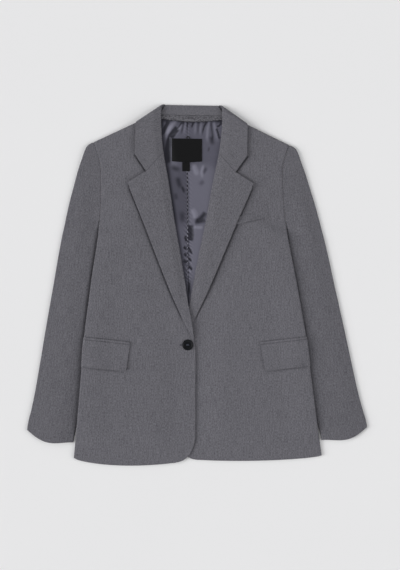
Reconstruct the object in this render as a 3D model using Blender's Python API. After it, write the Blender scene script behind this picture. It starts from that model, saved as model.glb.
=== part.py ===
"""A single breasted blazer, buttoned and laid flat on its back.

Every panel is a wall of cloth. Its middle surface is a grid of points, worked
out in millimetres from the tables below, and the wall stands half its
thickness to either side. X runs to the wearer's left, Y to the collar and Z
up from the surface that the blazer lies on.
"""

import math
from collections import namedtuple

import bpy
from mathutils import Matrix, Vector

MM = 0.001

# Cloth, and the air between its layers
CLOTH = 1.5
SATIN = 1.0
TAPE = 1.0
WELT = 1.2
LAYER_GAP = 0.4
SEAM_GAP = 0.3
LAYER = CLOTH + LAYER_GAP
HALF_SEAM = SEAM_GAP / 2

# Wearer's sides, by the sign of X
RIGHT = -1
LEFT = 1
SIDE_NAME = {RIGHT: "right", LEFT: "left"}

# How the garment lies: two centre lines lean a little, and the sides are tilted
NECK_X = -12.2
BODY_LEAN = 0.0215
BODY_LEAN_TOP = 250.0
OPENING_X = -11.2
OPENING_LEAN = -0.0151
OPENING_TOP = 376.0
SHOULDER_TILT = -0.0152
HEM_TILT = 0.011

# Heights along Y of the main lines
SHOULDER_Y = 297.4
UNDERARM_Y = 132.0
CORNER_TOP_Y = -314.0
SIDE_HEM_Y = -361.0
CUFF_Y = -328.0
COLLAR_TOP_Y = 378.0
NECK_SEAM_Y = 343.0

# Body outline: distance from the body's centre line to the armhole or side
BodyRow = namedtuple("BodyRow", "y half side_rise")
BODY_ROWS = [
    BodyRow(297.4, 205.4, 4.2),
    BodyRow(283.0, 200.9, 4.2),
    BodyRow(250.0, 191.8, 4.2),
    BodyRow(198.5, 191.4, 4.2),
    BodyRow(162.0, 193.2, 3.3),
    BodyRow(132.0, 196.4, 2.1),
    BodyRow(100.0, 199.6, 2.6),
    BodyRow(63.0, 205.8, 3.4),
    BodyRow(27.7, 212.1, 3.6),
    BodyRow(-10.0, 218.2, 3.6),
    BodyRow(-111.7, 233.5, 3.4),
    BodyRow(-168.6, 239.4, 3.4),
    BodyRow(-232.7, 245.9, 3.4),
    BodyRow(-295.0, 252.8, 3.2),
    BodyRow(-361.0, 260.8, 2.8),
]

# Front opening: distances from its centre line to the roll line, which is
# the front edge below the break, and to the lapel's outer edge. The rises
# are of the front's middle above the back's, on the lapping and on the
# covered side.
OpeningRow = namedtuple("OpeningRow", "y roll lapel over under")
OPENING_ROWS = [
    OpeningRow(378.0, 63.3, 150.0, 5.2, 5.2),
    OpeningRow(342.7, 64.0, 150.0, 5.2, 5.2),
    OpeningRow(288.0, 59.6, 145.0, 5.2, 5.2),
    OpeningRow(214.6, 46.1, 131.2, 5.2, 5.2),
    OpeningRow(140.0, 33.6, 101.1, 5.2, 5.2),
    OpeningRow(50.0, 16.6, 64.9, 5.2, 5.2),
    OpeningRow(10.9, 9.6, 49.0, 5.7, 5.1),
    OpeningRow(-21.4, 4.4, 35.3, 6.8, 4.4),
    OpeningRow(-47.3, 0.0, 23.3, 7.6, 3.6),
    OpeningRow(-64.0, -4.0, 15.5, 7.6, 3.2),
    OpeningRow(-84.0, -7.9, 6.2, 7.0, 2.6),
    OpeningRow(-112.0, -11.6, -6.5, 4.9, 2.3),
    OpeningRow(-138.0, -15.1, -15.1, 4.4, 2.3),
    OpeningRow(-230.0, -16.5, -16.5, 4.4, 2.3),
    OpeningRow(-314.0, -17.8, -17.8, 4.3, 2.2),
    OpeningRow(-372.0, -17.8, -17.8, 4.2, 2.2),
]

# Shoulder seen from above: a straight line from the collar to the armhole
SHOULDER_HALF = 205.4
SHOULDER_NECK_HALF = 76.5
SHOULDER_SLOPE = -0.474
SHOULDER_RUN = 10.0

# Fronts
MIDDLE_RISE = 4.6
HEM_RISE = 3.2
EDGE_FLAT = 38.0
EDGE_BLEND = 60.0
SIDE_BLEND = 60.0
SIDE_RUN = 28.0
CORNER_WIDE = 38.0
CORNER_Y = {RIGHT: -371.0, LEFT: -366.5}
HEM_BOW = {RIGHT: 11.5, LEFT: 6.5}
BACK_HEM_Y = -353.0
BACK_HEM_BOW = 3.0

# Lapel and roll
WRAP_END_Y = 14.0
ROLL_RUN = 7.0
STAND_OFF = 1.4
STAND_OFF_WIDE = 25.0
LAPEL_END_Y = {RIGHT: -112.0, LEFT: -84.0}
GORGE_INNER = (57.8, 275.5)
NOTCH = (93.3, 238.4)
LAPEL_TIP = (131.2, 214.8)
COLLAR_TIP = (117.8, 274.0)
GORGE_GAP = 0.45

# Collar: silhouette over the shoulder from the roll's corner to the outer one
COLLAR_CORNER = (63.3, 378.0)
COLLAR_OUTER = (113.6, 343.4)
COLLAR_SIDE_HALF = 117.4
FALL_EDGE_Y = 333.0
STAND_RISE = 0.8
STAND_HALF = 70.0
INNER_RUN_Y = 357.3
INNER_SPREAD = 1.24
NECK_RAMP = 26.0
NECK_SPREAD = 36.0

# Sleeves: one row for each section, from the shoulder to the cuff. inner_y is
# on the armhole or the inner fold, and the outer point is on the silhouette.
SleeveRow = namedtuple("SleeveRow", "inner_y outer_half outer_y")
SLEEVE_ROWS = [
    SleeveRow(296.4, 211.0, 294.8),
    SleeveRow(284.0, 218.0, 290.4),
    SleeveRow(276.0, 221.6, 286.0),
    SleeveRow(270.0, 224.0, 281.0),
    SleeveRow(261.0, 227.4, 272.0),
    SleeveRow(252.0, 230.5, 262.5),
    SleeveRow(226.0, 239.0, 238.0),
    SleeveRow(196.0, 248.0, 207.0),
    SleeveRow(164.0, 257.4, 174.5),
    SleeveRow(133.0, 266.0, 140.0),
    SleeveRow(132.0, 266.3, 138.8),
    SleeveRow(116.0, 270.5, 120.0),
    SleeveRow(100.0, 274.8, 103.0),
    SleeveRow(80.0, 279.8, 80.0),
    SleeveRow(56.0, 285.0, 55.0),
    SleeveRow(10.0, 294.0, 8.0),
    SleeveRow(-45.0, 305.0, -47.0),
    SleeveRow(-105.0, 316.4, -105.0),
    SleeveRow(-165.0, 327.8, -165.0),
    SleeveRow(-220.0, 338.4, -219.0),
    SleeveRow(-262.0, 347.4, -258.0),
    SleeveRow(-290.0, 353.6, -280.0),
    SleeveRow(-310.0, 356.4, -292.0),
    SleeveRow(-328.0, 357.6, -301.0),
]
SLEEVE_EDGE_RISE = 2.1
SLEEVE_MIDDLE_RISE = 5.1
SLEEVE_OUTER_RISE = 3.4
SLEEVE_RUN = 22.0
SLEEVE_INNER_RUN = 12.0
SLEEVE_LIFT = 2 * CLOTH + 0.6 + LAYER_GAP
TUCK = 12.0
CUFF_FLARE = 4.0
CUFF_BOW = 14.0
LIFT_FULL = 14.0
LIFT_RAMP = 26.0

# Pockets: flap and jetting on each front, welt on the wearer's left chest
FLAP_HALF = 138.6
FLAP_TOP_Y = -113.6
FLAP_SLOPE = 0.114
FLAP_DEEP = 56.0
FLAP_SLANT = 3.8
FLAP_CORNER = 6.0
FLAP_TURN_STATIONS = [-1.0, -2.0, -3.0]
JET_TALL = 5.0
WELT_FROM = (70.0, 125.5)
WELT_TO = (148.6, 143.4)
WELT_TALL = 16.0

# Lining, label and loop
LINING_MARGIN = 14.0
LINING_END_Y = -62.0
LINING_SEAM_X = -20.3
LINING_SEAM_LEAN = 0.0055
LABEL_CENTRE = (-21.5, 283.4)
LABEL_SIZE = (63.0, 47.5)
TAB_CENTRE = (-23.5, 248.2)
TAB_SIZE = (15.8, 18.6)
LOOP_WIDE = 9.0
LOOP_TALL = 5.0
LOOP_THICK = 1.6

# Lining folds: a soft ridge from one point to another
FoldRow = namedtuple("FoldRow", "x0 y0 x1 y1 wide tall")
LINING_FOLDS = [
    FoldRow(-58.0, 342.0, -70.0, 300.0, 11.0, 2.6),
    FoldRow(-45.0, 342.0, -62.0, 262.0, 11.0, 3.0),
    FoldRow(-33.0, 342.0, -38.0, 316.0, 10.0, 2.4),
    FoldRow(-9.0, 342.0, -9.0, 316.0, 10.0, 2.2),
    FoldRow(6.0, 342.0, 20.0, 262.0, 11.0, 2.8),
    FoldRow(20.0, 342.0, 30.0, 300.0, 10.0, 2.8),
    FoldRow(34.0, 342.0, 42.0, 318.0, 10.0, 2.2),
    FoldRow(18.0, 238.0, 2.0, 190.0, 14.0, 2.4),
    FoldRow(-48.0, 236.0, -32.0, 160.0, 13.0, 2.2),
    FoldRow(10.0, 160.0, -12.0, 112.0, 14.0, 2.6),
    FoldRow(-34.0, 120.0, -25.0, 60.0, 11.0, 2.0),
    FoldRow(-4.0, 92.0, -16.0, 40.0, 11.0, 2.2),
]

# Button, two holes, sewn on a thread shank
BUTTON_CENTRE = (-19.8, -125.3)
BUTTON_RADIUS = 11.4
BUTTON_TALL = 3.4
SHANK_RADIUS = 1.5
HOLE_RADIUS = 0.9
HOLE_FROM_CENTRE = 2.6
BUTTONHOLE_LONG = 15.5
SLIT = 1.2

# Grids: how many columns and steps each piece has, and where its rows stand
FOLD_STEPS = 4
EDGE_COLUMNS = 5
SIDE_STATIONS = [60.0, 42.0, 32.0, 24.0, 16.0, 8.0, 0.0]
TOP_COLUMNS = EDGE_COLUMNS + len(SIDE_STATIONS)
ARMHOLE_HEIGHTS = [276.0, 270.0, 261.0, 252.0, 226.0, 196.0, 164.0, 133.0, UNDERARM_Y]
SLEEVE_COLUMNS = 7
LAPEL_COLUMNS = 7
WRAP_COLUMNS = 5
TAPE_COLUMNS = 6
LINING_COLUMNS = 9
LINING_HEIGHTS = [330, 318, 306, 294, 276, 258, 240, 222, 204, 186, 168, 150, 132, 114]
LINING_HEIGHTS += [94, 72, 48, 22, -4, -32, LINING_END_Y]

# Collar grid: its wings, the folds over the shoulders and the fall behind
COLLAR_COLUMNS = 6
COLLAR_SPLIT = 0.6
WING_SHARES = [0.0, 0.08, 0.24, 0.372, 0.505, 0.6, 0.8, 1.0]
WING_TOP_Y = 369.6
WING_SIDE_Y = 334.4
TURN_STEPS = 7
TURN_START = (7.2, -4.6)
TURN_END = (69.0, 57.0)
TURN_SLANT = (35.0, 55.0)
FALL_ROLL = 1.2
FALL_SHARES = [0.96, 0.7, 0.36, 0.0]

COLOURS = {
    "suiting": (0.122, 0.120, 0.134, 1.0),
    "satin": (0.105, 0.105, 0.140, 1.0),
    "tape": (0.006, 0.006, 0.007, 1.0),
    "button": (0.008, 0.009, 0.012, 1.0),
}
ROUGHNESS = {"suiting": 0.9, "satin": 0.35, "tape": 0.7, "button": 0.3}


def smooth(start, end, value):
    """Go from 0 at start to 1 at end, level at both."""
    share = min(max((value - start) / (end - start), 0.0), 1.0)
    return share * share * (3 - 2 * share)


def mix(a, b, share):
    return a + (b - a) * share


def lookup(rows, name, y):
    """Read a table's column at height y, on a smooth curve through its rows."""
    heights = [row.y for row in rows]
    values = [getattr(row, name) for row in rows]
    if y >= heights[0]:
        return values[0]
    if y <= heights[-1]:
        return values[-1]
    slopes = []
    for i in range(len(rows)):
        low, high = max(i - 1, 0), min(i + 1, len(rows) - 1)
        slopes.append((values[high] - values[low]) / (heights[high] - heights[low]))
    i = next(k for k in range(len(rows) - 1) if y >= heights[k + 1])
    step = heights[i + 1] - heights[i]
    t = (y - heights[i]) / step
    return (
        (2 * t**3 - 3 * t**2 + 1) * values[i]
        + (t**3 - 2 * t**2 + t) * step * slopes[i]
        + (3 * t**2 - 2 * t**3) * values[i + 1]
        + (t**3 - t**2) * step * slopes[i + 1]
    )


def body_centre(y):
    return NECK_X + BODY_LEAN * max(0.0, BODY_LEAN_TOP - y)


def opening_centre(y):
    return OPENING_X + OPENING_LEAN * (OPENING_TOP - y)


def tilt(y):
    share = (SHOULDER_Y - y) / (SHOULDER_Y - SIDE_HEM_Y)
    return mix(SHOULDER_TILT, HEM_TILT, share)


def side_half(y):
    return lookup(BODY_ROWS, "half", y)


def shoulder_y(half):
    return SHOULDER_Y + SHOULDER_SLOPE * (half - SHOULDER_HALF)


def roll(y):
    return lookup(OPENING_ROWS, "roll", y)


def neck_lift(x, y):
    """Height that the collar's fall gives to the layers that lie on it."""
    half = abs(x - NECK_X)
    along = smooth(FALL_EDGE_Y - 4 - NECK_RAMP, FALL_EDGE_Y - 4, y)
    across = 1 - smooth(COLLAR_SIDE_HALF, COLLAR_SIDE_HALF + NECK_SPREAD, half)
    return LAYER * along * across


def side_lift(side, x, y):
    """Height that the tucked sleeve gives to the body's side."""
    inwards = side_half(y) - side * (x - body_centre(y))
    along = smooth(UNDERARM_Y, UNDERARM_Y - 30, y) * (1 - smooth(-292, -340, y))
    return SLEEVE_LIFT * along * (1 - smooth(LIFT_FULL, LIFT_FULL + LIFT_RAMP, inwards))


def back_z(side, x, y):
    return CLOTH / 2 + neck_lift(x, y) + side_lift(side, x, y)


def front_rise(side, x, y):
    """Height of a front's middle surface above the back's."""
    from_edge = side * (x - opening_centre(y)) - roll(y)
    from_side = side_half(y) - side * (x - body_centre(y))
    edge = lookup(OPENING_ROWS, "over" if side == RIGHT else "under", y)
    middle = mix(HEM_RISE, MIDDLE_RISE, smooth(SIDE_HEM_Y - 10, SIDE_HEM_Y + 70, y))
    rise = mix(edge, middle, smooth(EDGE_FLAT, EDGE_FLAT + EDGE_BLEND, from_edge))
    return mix(lookup(BODY_ROWS, "side_rise", y), rise, smooth(0, SIDE_BLEND, from_side))


def front_z(side, x, y):
    return back_z(side, x, y) + front_rise(side, x, y)


def lapel_z(side, x, y):
    """Middle surface of a lapel or of the collar where it lies on a front."""
    from_edge = side * (x - opening_centre(y)) - roll(y)
    stand = STAND_OFF * smooth(0, STAND_OFF_WIDE, from_edge) * smooth(-80, 20, y)
    return front_z(side, x, y) + LAYER + stand


def material(name):
    made = bpy.data.materials.get(name)
    if made is None:
        made = bpy.data.materials.new(name)
        made.use_nodes = True
        shader = made.node_tree.nodes["Principled BSDF"]
        shader.inputs["Base Color"].default_value = COLOURS[name]
        shader.inputs["Roughness"].default_value = ROUGHNESS[name]
        shader.inputs["Metallic"].default_value = 0.0
        made.diffuse_color = COLOURS[name]
    return made


def add_object(name, points, faces, material_name):
    """Lay the points on the tilted garment, in metres, and make the object."""
    laid = [(x * MM, (y + tilt(y) * x) * MM, z * MM) for x, y, z in points]
    mesh = bpy.data.meshes.new(name)
    mesh.from_pydata(laid, [], faces)
    mesh.materials.append(material(material_name))
    mesh.shade_smooth()
    mesh.set_sharp_from_angle(angle=math.radians(50))
    made = bpy.data.objects.new(name, mesh)
    bpy.context.scene.collection.objects.link(made)
    return made


def grid_normals(points, cells):
    """Average the faces round each grid point, with most of them facing up."""
    normals = {}
    for i, j in cells:
        across = points[i + 1][j + 1] - points[i][j]
        along = points[i][j + 1] - points[i + 1][j]
        normal = along.cross(across)
        for key in ((i, j), (i + 1, j), (i, j + 1), (i + 1, j + 1)):
            normals[key] = normals.get(key, Vector()) + normal
    upward = 1 if sum(normal.z for normal in normals.values()) >= 0 else -1
    return {key: normal.normalized() * upward for key, normal in normals.items()}, upward


def wall(name, grid, thick, material_name, keep=None, out=0.0):
    """Make a closed wall round a grid's middle surface, moved out by out."""
    points = [[Vector(point) for point in row] for row in grid]
    cells = [
        (i, j)
        for i in range(len(points) - 1)
        for j in range(len(points[0]) - 1)
        if keep is None or keep(i, j)
    ]
    normals, upward = grid_normals(points, cells)
    keys = sorted(normals)
    index = {key: number for number, key in enumerate(keys)}
    count = len(keys)
    outer = [points[i][j] + normals[i, j] * (out + thick / 2) for i, j in keys]
    inner = [points[i][j] + normals[i, j] * (out - thick / 2) for i, j in keys]
    faces = []
    edges = set()
    for i, j in cells:
        corners = [(i, j), (i, j + 1), (i + 1, j + 1), (i + 1, j)]
        if upward > 0:
            corners.reverse()
        ring = [index[key] for key in corners]
        faces.append(ring[::-1])
        faces.append([count + k for k in ring])
        edges.update(zip(ring, ring[1:] + ring[:1]))
    for a, b in sorted(edges):
        if (b, a) not in edges:
            faces.append([a, b, count + b, count + a])
    return add_object(name, outer + inner, faces, material_name)


def half_turn(steps, from_angle, to_angle):
    """List the angles inside a fold, in radians, with both its ends."""
    return [math.radians(mix(from_angle, to_angle, k / steps)) for k in range(steps + 1)]


def column_shares(wide):
    """Where a front's columns stand across a row: closer towards the side."""
    inner = 1 - SIDE_STATIONS[0] / wide
    shares = [inner * k / EDGE_COLUMNS for k in range(EDGE_COLUMNS)]
    return shares + [1 - station / wide for station in SIDE_STATIONS]


def edge_inset(y):
    """Keep the front's edge inside the lapel's roll."""
    return 2.2 * smooth(-50, WRAP_END_Y, y)


def front_fold(side, y, bottom_y):
    """Points round the side fold and along the underside, for one row."""
    radius = lookup(BODY_ROWS, "side_rise", y) / 2
    centre = body_centre(y)
    fold_half = side_half(y) - CLOTH / 2 - radius
    fold_x = centre + side * fold_half
    low = back_z(side, fold_x, y)
    row = []
    for angle in half_turn(FOLD_STEPS, 90, -90)[1:]:
        x = centre + side * (fold_half + radius * math.cos(angle))
        row.append((x, bottom_y, low + radius * (1 + math.sin(angle))))
    for run in (SIDE_RUN / 2, SIDE_RUN):
        x = fold_x - side * (run - radius)
        row.append((x, min(bottom_y, UNDERARM_Y - SEAM_GAP), back_z(side, x, y)))
    return row


def front_lower_rows(side):
    """Rows of a front from the underarm to the hem, each with its fold."""
    rows = []
    heights = [UNDERARM_Y, 116, 100, 80, 56, 30, 8, -14, -34, -50, -66, -84, -100]
    heights += [-118, -138, -170, -210, -255, -292, CORNER_TOP_Y]
    for y in heights:
        start = opening_centre(y) + side * (roll(y) + edge_inset(y))
        radius = lookup(BODY_ROWS, "side_rise", y) / 2
        end = body_centre(y) + side * (side_half(y) - CLOTH / 2 - radius)
        row = []
        for u in column_shares(abs(end - start)):
            x = mix(start, end, u)
            row.append((x, y, front_z(side, x, y)))
        rows.append(row + front_fold(side, y, y))
    corner_steps = 4
    for step in range(1, corner_steps + 1):
        share = step / corner_steps
        turn = math.radians(90 * share)
        start_y = mix(CORNER_TOP_Y, CORNER_Y[side], math.sin(turn))
        side_y = mix(CORNER_TOP_Y, SIDE_HEM_Y, share)
        edge = roll(CORNER_TOP_Y) + CORNER_WIDE * (1 - math.cos(turn))
        start = opening_centre(start_y) + side * edge
        radius = lookup(BODY_ROWS, "side_rise", side_y) / 2
        end = body_centre(side_y) + side * (side_half(side_y) - CLOTH / 2 - radius)
        row = []
        for u in column_shares(abs(end - start)):
            bow = HEM_BOW[side] * share**2 * hem_bow(u)
            x = mix(start, end, u)
            y = mix(start_y, side_y, u) - bow
            row.append((x, y, front_z(side, x, y)))
        rows.append(row + front_fold(side, side_y, side_y))
    return rows


def hem_bow(u):
    return math.sin(math.pi * u**1.2) ** 0.6 if 0 < u < 1 else 0.0


def shoulder_point(side, half, inwards, angle, radius, low):
    """A point on the shoulder fold, measured inwards from the silhouette."""
    lean = math.hypot(1, SHOULDER_SLOPE)
    inset = CLOTH / 2 + radius * (1 - math.cos(angle)) + inwards
    x = NECK_X + side * (half + SHOULDER_SLOPE / lean * inset)
    y = shoulder_y(half) - inset / lean
    return (x, y, low + radius * (1 + math.sin(angle)))


def front_upper_rows(side):
    """Rows of a front from the shoulder seam over the shoulder to the underarm."""
    inner, outer = SHOULDER_NECK_HALF, SHOULDER_HALF - HALF_SEAM
    halves = [mix(inner, outer, u) for u in column_shares(outer - inner)]
    flat = [shoulder_point(side, half, 2.3, 0, 0, 0) for half in halves]
    rises = [front_rise(side, x, y) for x, y, _ in flat]
    lows = [back_z(side, x, y) for x, y, _ in flat]
    rows = []
    for run in (SHOULDER_RUN, SHOULDER_RUN / 2):
        row = []
        for half, rise in zip(halves, rises):
            x, y, _ = shoulder_point(side, half, run, math.pi / 2, rise / 2, 0)
            row.append((x, y, back_z(side, x, y)))
        rows.append(row)
    for angle in half_turn(FOLD_STEPS, -90, 90):
        rows.append(
            [
                shoulder_point(side, half, 0, angle, rise / 2, low)
                for half, rise, low in zip(halves, rises, lows)
            ]
        )
    top = rows[-1]
    for outer_y in ARMHOLE_HEIGHTS[:-1]:
        share = (top[-1][1] - outer_y) / (top[-1][1] - UNDERARM_Y)
        inner_y = mix(top[0][1], UNDERARM_Y, share)
        inner_x = opening_centre(inner_y) + side * (roll(inner_y) + edge_inset(inner_y))
        outer_x = body_centre(outer_y) + side * (side_half(outer_y) - HALF_SEAM)
        row = []
        for u in column_shares(abs(outer_x - inner_x)):
            x, y = mix(inner_x, outer_x, u), mix(inner_y, outer_y, u)
            row.append((x, y, front_z(side, x, y)))
        rows.append(row)
    return rows


def front_grid(side):
    """Whole front. Above the underarm the fold's columns only hold places."""
    upper = front_upper_rows(side)
    lower = front_lower_rows(side)
    spare = len(lower[0]) - TOP_COLUMNS
    filled = [row + [row[-1]] * spare for row in upper]
    return filled + lower, len(upper)


def make_front(side):
    grid, first_lower = front_grid(side)
    made = wall(
        "front_" + SIDE_NAME[side],
        grid,
        CLOTH,
        "suiting",
        keep=lambda i, j: j < TOP_COLUMNS - 1 or i >= first_lower,
    )
    if side == RIGHT:
        cut_buttonhole(made)


def make_back(side):
    """Half of the back, from the centre seam to the seams under the folds."""
    columns = 7
    lean = math.hypot(1, SHOULDER_SLOPE)
    grid = []

    def seam_half(y):
        return side_half(y) - CLOTH / 2 - SIDE_RUN - SEAM_GAP

    def top_y(half):
        neck = NECK_SEAM_Y + 5 * (half / 63) ** 2 - SEAM_GAP
        drop = (CLOTH / 2 + 2.35 + SHOULDER_RUN + SEAM_GAP + 0.3) * lean
        return min(neck, shoulder_y(half) - drop)

    edge_heights = [top_y(SHOULDER_HALF)] + ARMHOLE_HEIGHTS
    upper_steps = len(edge_heights) - 1
    for edge_y in edge_heights:
        share = (edge_heights[0] - edge_y) / (edge_heights[0] - UNDERARM_Y)
        row = []
        for k in range(columns + 3):
            y = UNDERARM_Y
            for _ in range(4):
                if k < columns:
                    half = mix(HALF_SEAM, seam_half(y), k / (columns - 1))
                    y = mix(top_y(half), UNDERARM_Y, share)
                elif k < columns + 2:
                    reach = (k - columns + 1) / 3
                    half = mix(seam_half(y), side_half(y) - HALF_SEAM, reach)
                    y = mix(top_y(half), UNDERARM_Y + SEAM_GAP, share)
                else:
                    y = max(edge_y, UNDERARM_Y + SEAM_GAP)
                    half = side_half(y) - HALF_SEAM
            x = body_centre(y) + side * half
            row.append((x, y, back_z(side, x, y)))
        grid.append(row)
    for y in (116, 100, 80, 56, 30, -20, -80, -150, -220, -290, -316, -335):
        grid.append(back_row(side, y, seam_half(y), columns, 0.0))
    grid.append(back_row(side, BACK_HEM_Y, seam_half(BACK_HEM_Y), columns, BACK_HEM_BOW))
    return wall(
        "back_" + SIDE_NAME[side],
        grid,
        CLOTH,
        "suiting",
        keep=lambda i, j: j < columns - 1 or i < upper_steps,
    )


def back_row(side, y, end_half, columns, bow):
    row = []
    for k in range(columns):
        u = k / (columns - 1)
        x = body_centre(y) + side * mix(HALF_SEAM, end_half, u)
        row.append((x, y - bow * u * u, back_z(side, x, y)))
    return row + [row[-1]] * 3


def sleeve_inner_half(y):
    """Inner fold of the sleeve, which goes under the body's side and out again."""
    tucked = smooth(98, 60, y) * (1 - smooth(-225, -288, y))
    tuck = mix(-0.4, TUCK, tucked) - (CUFF_FLARE - 0.4) * smooth(-288, CUFF_Y, y)
    return side_half(y) - tuck


def cuff_bow(u):
    return math.sin(math.pi * u**1.3)


def sleeve_frame(row):
    """Both ends of a section and its fold radii, on the wearer's left."""
    above = row.inner_y > UNDERARM_Y
    if above:
        inner = side_half(row.inner_y) + HALF_SEAM
    else:
        inner = sleeve_inner_half(row.inner_y)
    inner_radius = SLEEVE_EDGE_RISE / 2
    head = smooth(200, 290, row.outer_y)
    outer_radius = mix(SLEEVE_OUTER_RISE, BODY_ROWS[0].side_rise, head) / 2
    return above, inner, inner_radius, outer_radius


def sleeve_point(side, row, across, bow):
    """Plan place at a distance across a section, out from its inner end."""
    _, inner, _, _ = sleeve_frame(row)
    wide = row.outer_half - inner
    u = across / wide
    y = mix(row.inner_y, row.outer_y, u) - bow * cuff_bow(min(max(u, 0.0), 1.0))
    x = body_centre(y) + side * (inner + across)
    return x, y


def sleeve_rise(side, row, across, wide, outer_radius):
    """Height of the top sleeve's middle surface above the under sleeve's."""
    if row.inner_y > UNDERARM_Y:
        edge = lookup(BODY_ROWS, "side_rise", row.inner_y)
        from_body = across
    else:
        edge = SLEEVE_EDGE_RISE
        body = side_half(row.inner_y)
        from_body = across + sleeve_inner_half(row.inner_y) - body
    rise = mix(edge, SLEEVE_MIDDLE_RISE, smooth(0, 36, from_body))
    return mix(2 * outer_radius, rise, smooth(0, 34, wide - CLOTH / 2 - outer_radius - across))


def make_sleeve(side):
    """Top sleeve, folded round both edges, and the strip that closes it below."""
    top_grid = []
    under_grid = []
    first_below = 0
    for number, row in enumerate(SLEEVE_ROWS):
        above, inner, inner_radius, outer_radius = sleeve_frame(row)
        if row.inner_y > UNDERARM_Y:
            first_below = number + 1
        bow = CUFF_BOW * smooth(-270, CUFF_Y, row.inner_y)
        wide = row.outer_half - inner
        start = 0.0 if above else CLOTH / 2 + inner_radius
        end = wide - CLOTH / 2 - outer_radius
        low = CLOTH / 2
        inner_run = 0.0 if above else min(SLEEVE_INNER_RUN, 0.3 * wide)
        outer_run = min(SLEEVE_RUN, 0.3 * wide)
        line = []
        for run in (inner_run, inner_run / 2):
            line.append((*sleeve_point(side, row, start + run, bow), low))
        for angle in half_turn(FOLD_STEPS, -90, 90)[:-1]:
            across = start - inner_radius * math.cos(angle)
            height = low + inner_radius * (1 + math.sin(angle))
            line.append((*sleeve_point(side, row, across, bow), height))
        for k in range(SLEEVE_COLUMNS):
            across = mix(start, end, k / (SLEEVE_COLUMNS - 1))
            height = low + sleeve_rise(side, row, across, wide, outer_radius)
            line.append((*sleeve_point(side, row, across, bow), height))
        for angle in half_turn(FOLD_STEPS, 90, -90)[1:]:
            across = end + outer_radius * math.cos(angle)
            height = low + outer_radius * (1 + math.sin(angle))
            line.append((*sleeve_point(side, row, across, bow), height))
        for run in (outer_run / 2, outer_run):
            line.append((*sleeve_point(side, row, end - run, bow), low))
        top_grid.append(line)
        under_from = HALF_SEAM if above else start + inner_run + SEAM_GAP
        under_to = end - outer_run - SEAM_GAP
        strip = []
        for k in range(4):
            across = mix(under_from, under_to, k / 3)
            strip.append((*sleeve_point(side, row, across, bow), low))
        under_grid.append(strip)
    fold_columns = 2 + FOLD_STEPS
    wall(
        "sleeve_top_" + SIDE_NAME[side],
        top_grid,
        CLOTH,
        "suiting",
        keep=lambda i, j: j >= fold_columns or i >= first_below,
    )
    wall("sleeve_under_" + SIDE_NAME[side], under_grid, CLOTH, "suiting")


def roll_columns(side, y, start_x):
    """Points under the roll, from its short run below to the turn's top."""
    centre_z = front_z(side, start_x, y)
    points = []
    for run in (ROLL_RUN, 0.0):
        x = start_x + side * run
        points.append((x, y, front_z(side, x, y) - LAYER))
    for angle in half_turn(4, -90, 90)[1:-1]:
        x = start_x - side * LAYER * math.cos(angle)
        points.append((x, y, centre_z + LAYER * math.sin(angle)))
    return points


def make_lapel(side):
    """Facing that shows: round the roll line and out to the lapel's edge."""
    end_y = LAPEL_END_Y[side]
    heights = [None, 206, 176, 140, 100, 60, 32, WRAP_END_Y, WRAP_END_Y - 1, -6, -24, -40, -54, -68, -84]
    if side == RIGHT:
        heights += [-98, end_y]
    notch_column = 2
    grid = []
    for y in heights:
        start_y = GORGE_INNER[1] - GORGE_GAP if y is None else y
        inset = LAYER + CLOTH / 2 if start_y >= WRAP_END_Y else 0.0
        if y is not None and y < WRAP_END_Y:
            inset = 0.0
        # The first rows fan out from the gorge to the level rows below
        grid.append(lapel_row(side, y, start_y, inset, notch_column))
    return wall(
        "lapel_" + SIDE_NAME[side],
        grid,
        CLOTH,
        "suiting",
        keep=lambda i, j: j >= WRAP_COLUMNS - 1 or heights[i + 1] >= WRAP_END_Y,
    )


def lapel_row(side, y, start_y, inset, notch_column):
    start_x = opening_centre(start_y) + side * (roll(start_y) + inset)
    row = roll_columns(side, start_y, start_x)
    edge_y = LAPEL_TIP[1] if y is None else min(start_y, LAPEL_TIP[1])
    for k in range(LAPEL_COLUMNS):
        u = k / (LAPEL_COLUMNS - 1)
        if y is None:
            split = notch_column / (LAPEL_COLUMNS - 1)
            x, point_y = gorge_point(side, start_x, u, split, LAPEL_TIP, GORGE_GAP)
        else:
            outer = opening_centre(edge_y) + side * lookup(OPENING_ROWS, "lapel", edge_y)
            x, point_y = mix(start_x, outer, u), mix(start_y, edge_y, u)
        row.append((x, point_y, lapel_z(side, x, point_y)))
    return row


def gorge_point(side, start_x, u, split, tip, gap):
    """A place on the edge that goes down the gorge seam and then out to a tip."""
    notch_x = opening_centre(NOTCH[1]) + side * NOTCH[0]
    tip_x = opening_centre(tip[1]) + side * tip[0]
    if u <= split:
        share = u / split
        return mix(start_x, notch_x, share), mix(GORGE_INNER[1], NOTCH[1], share) - gap
    share = (u - split) / (1 - split)
    return mix(notch_x, tip_x, share), mix(NOTCH[1] - gap, tip[1], share)


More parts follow.
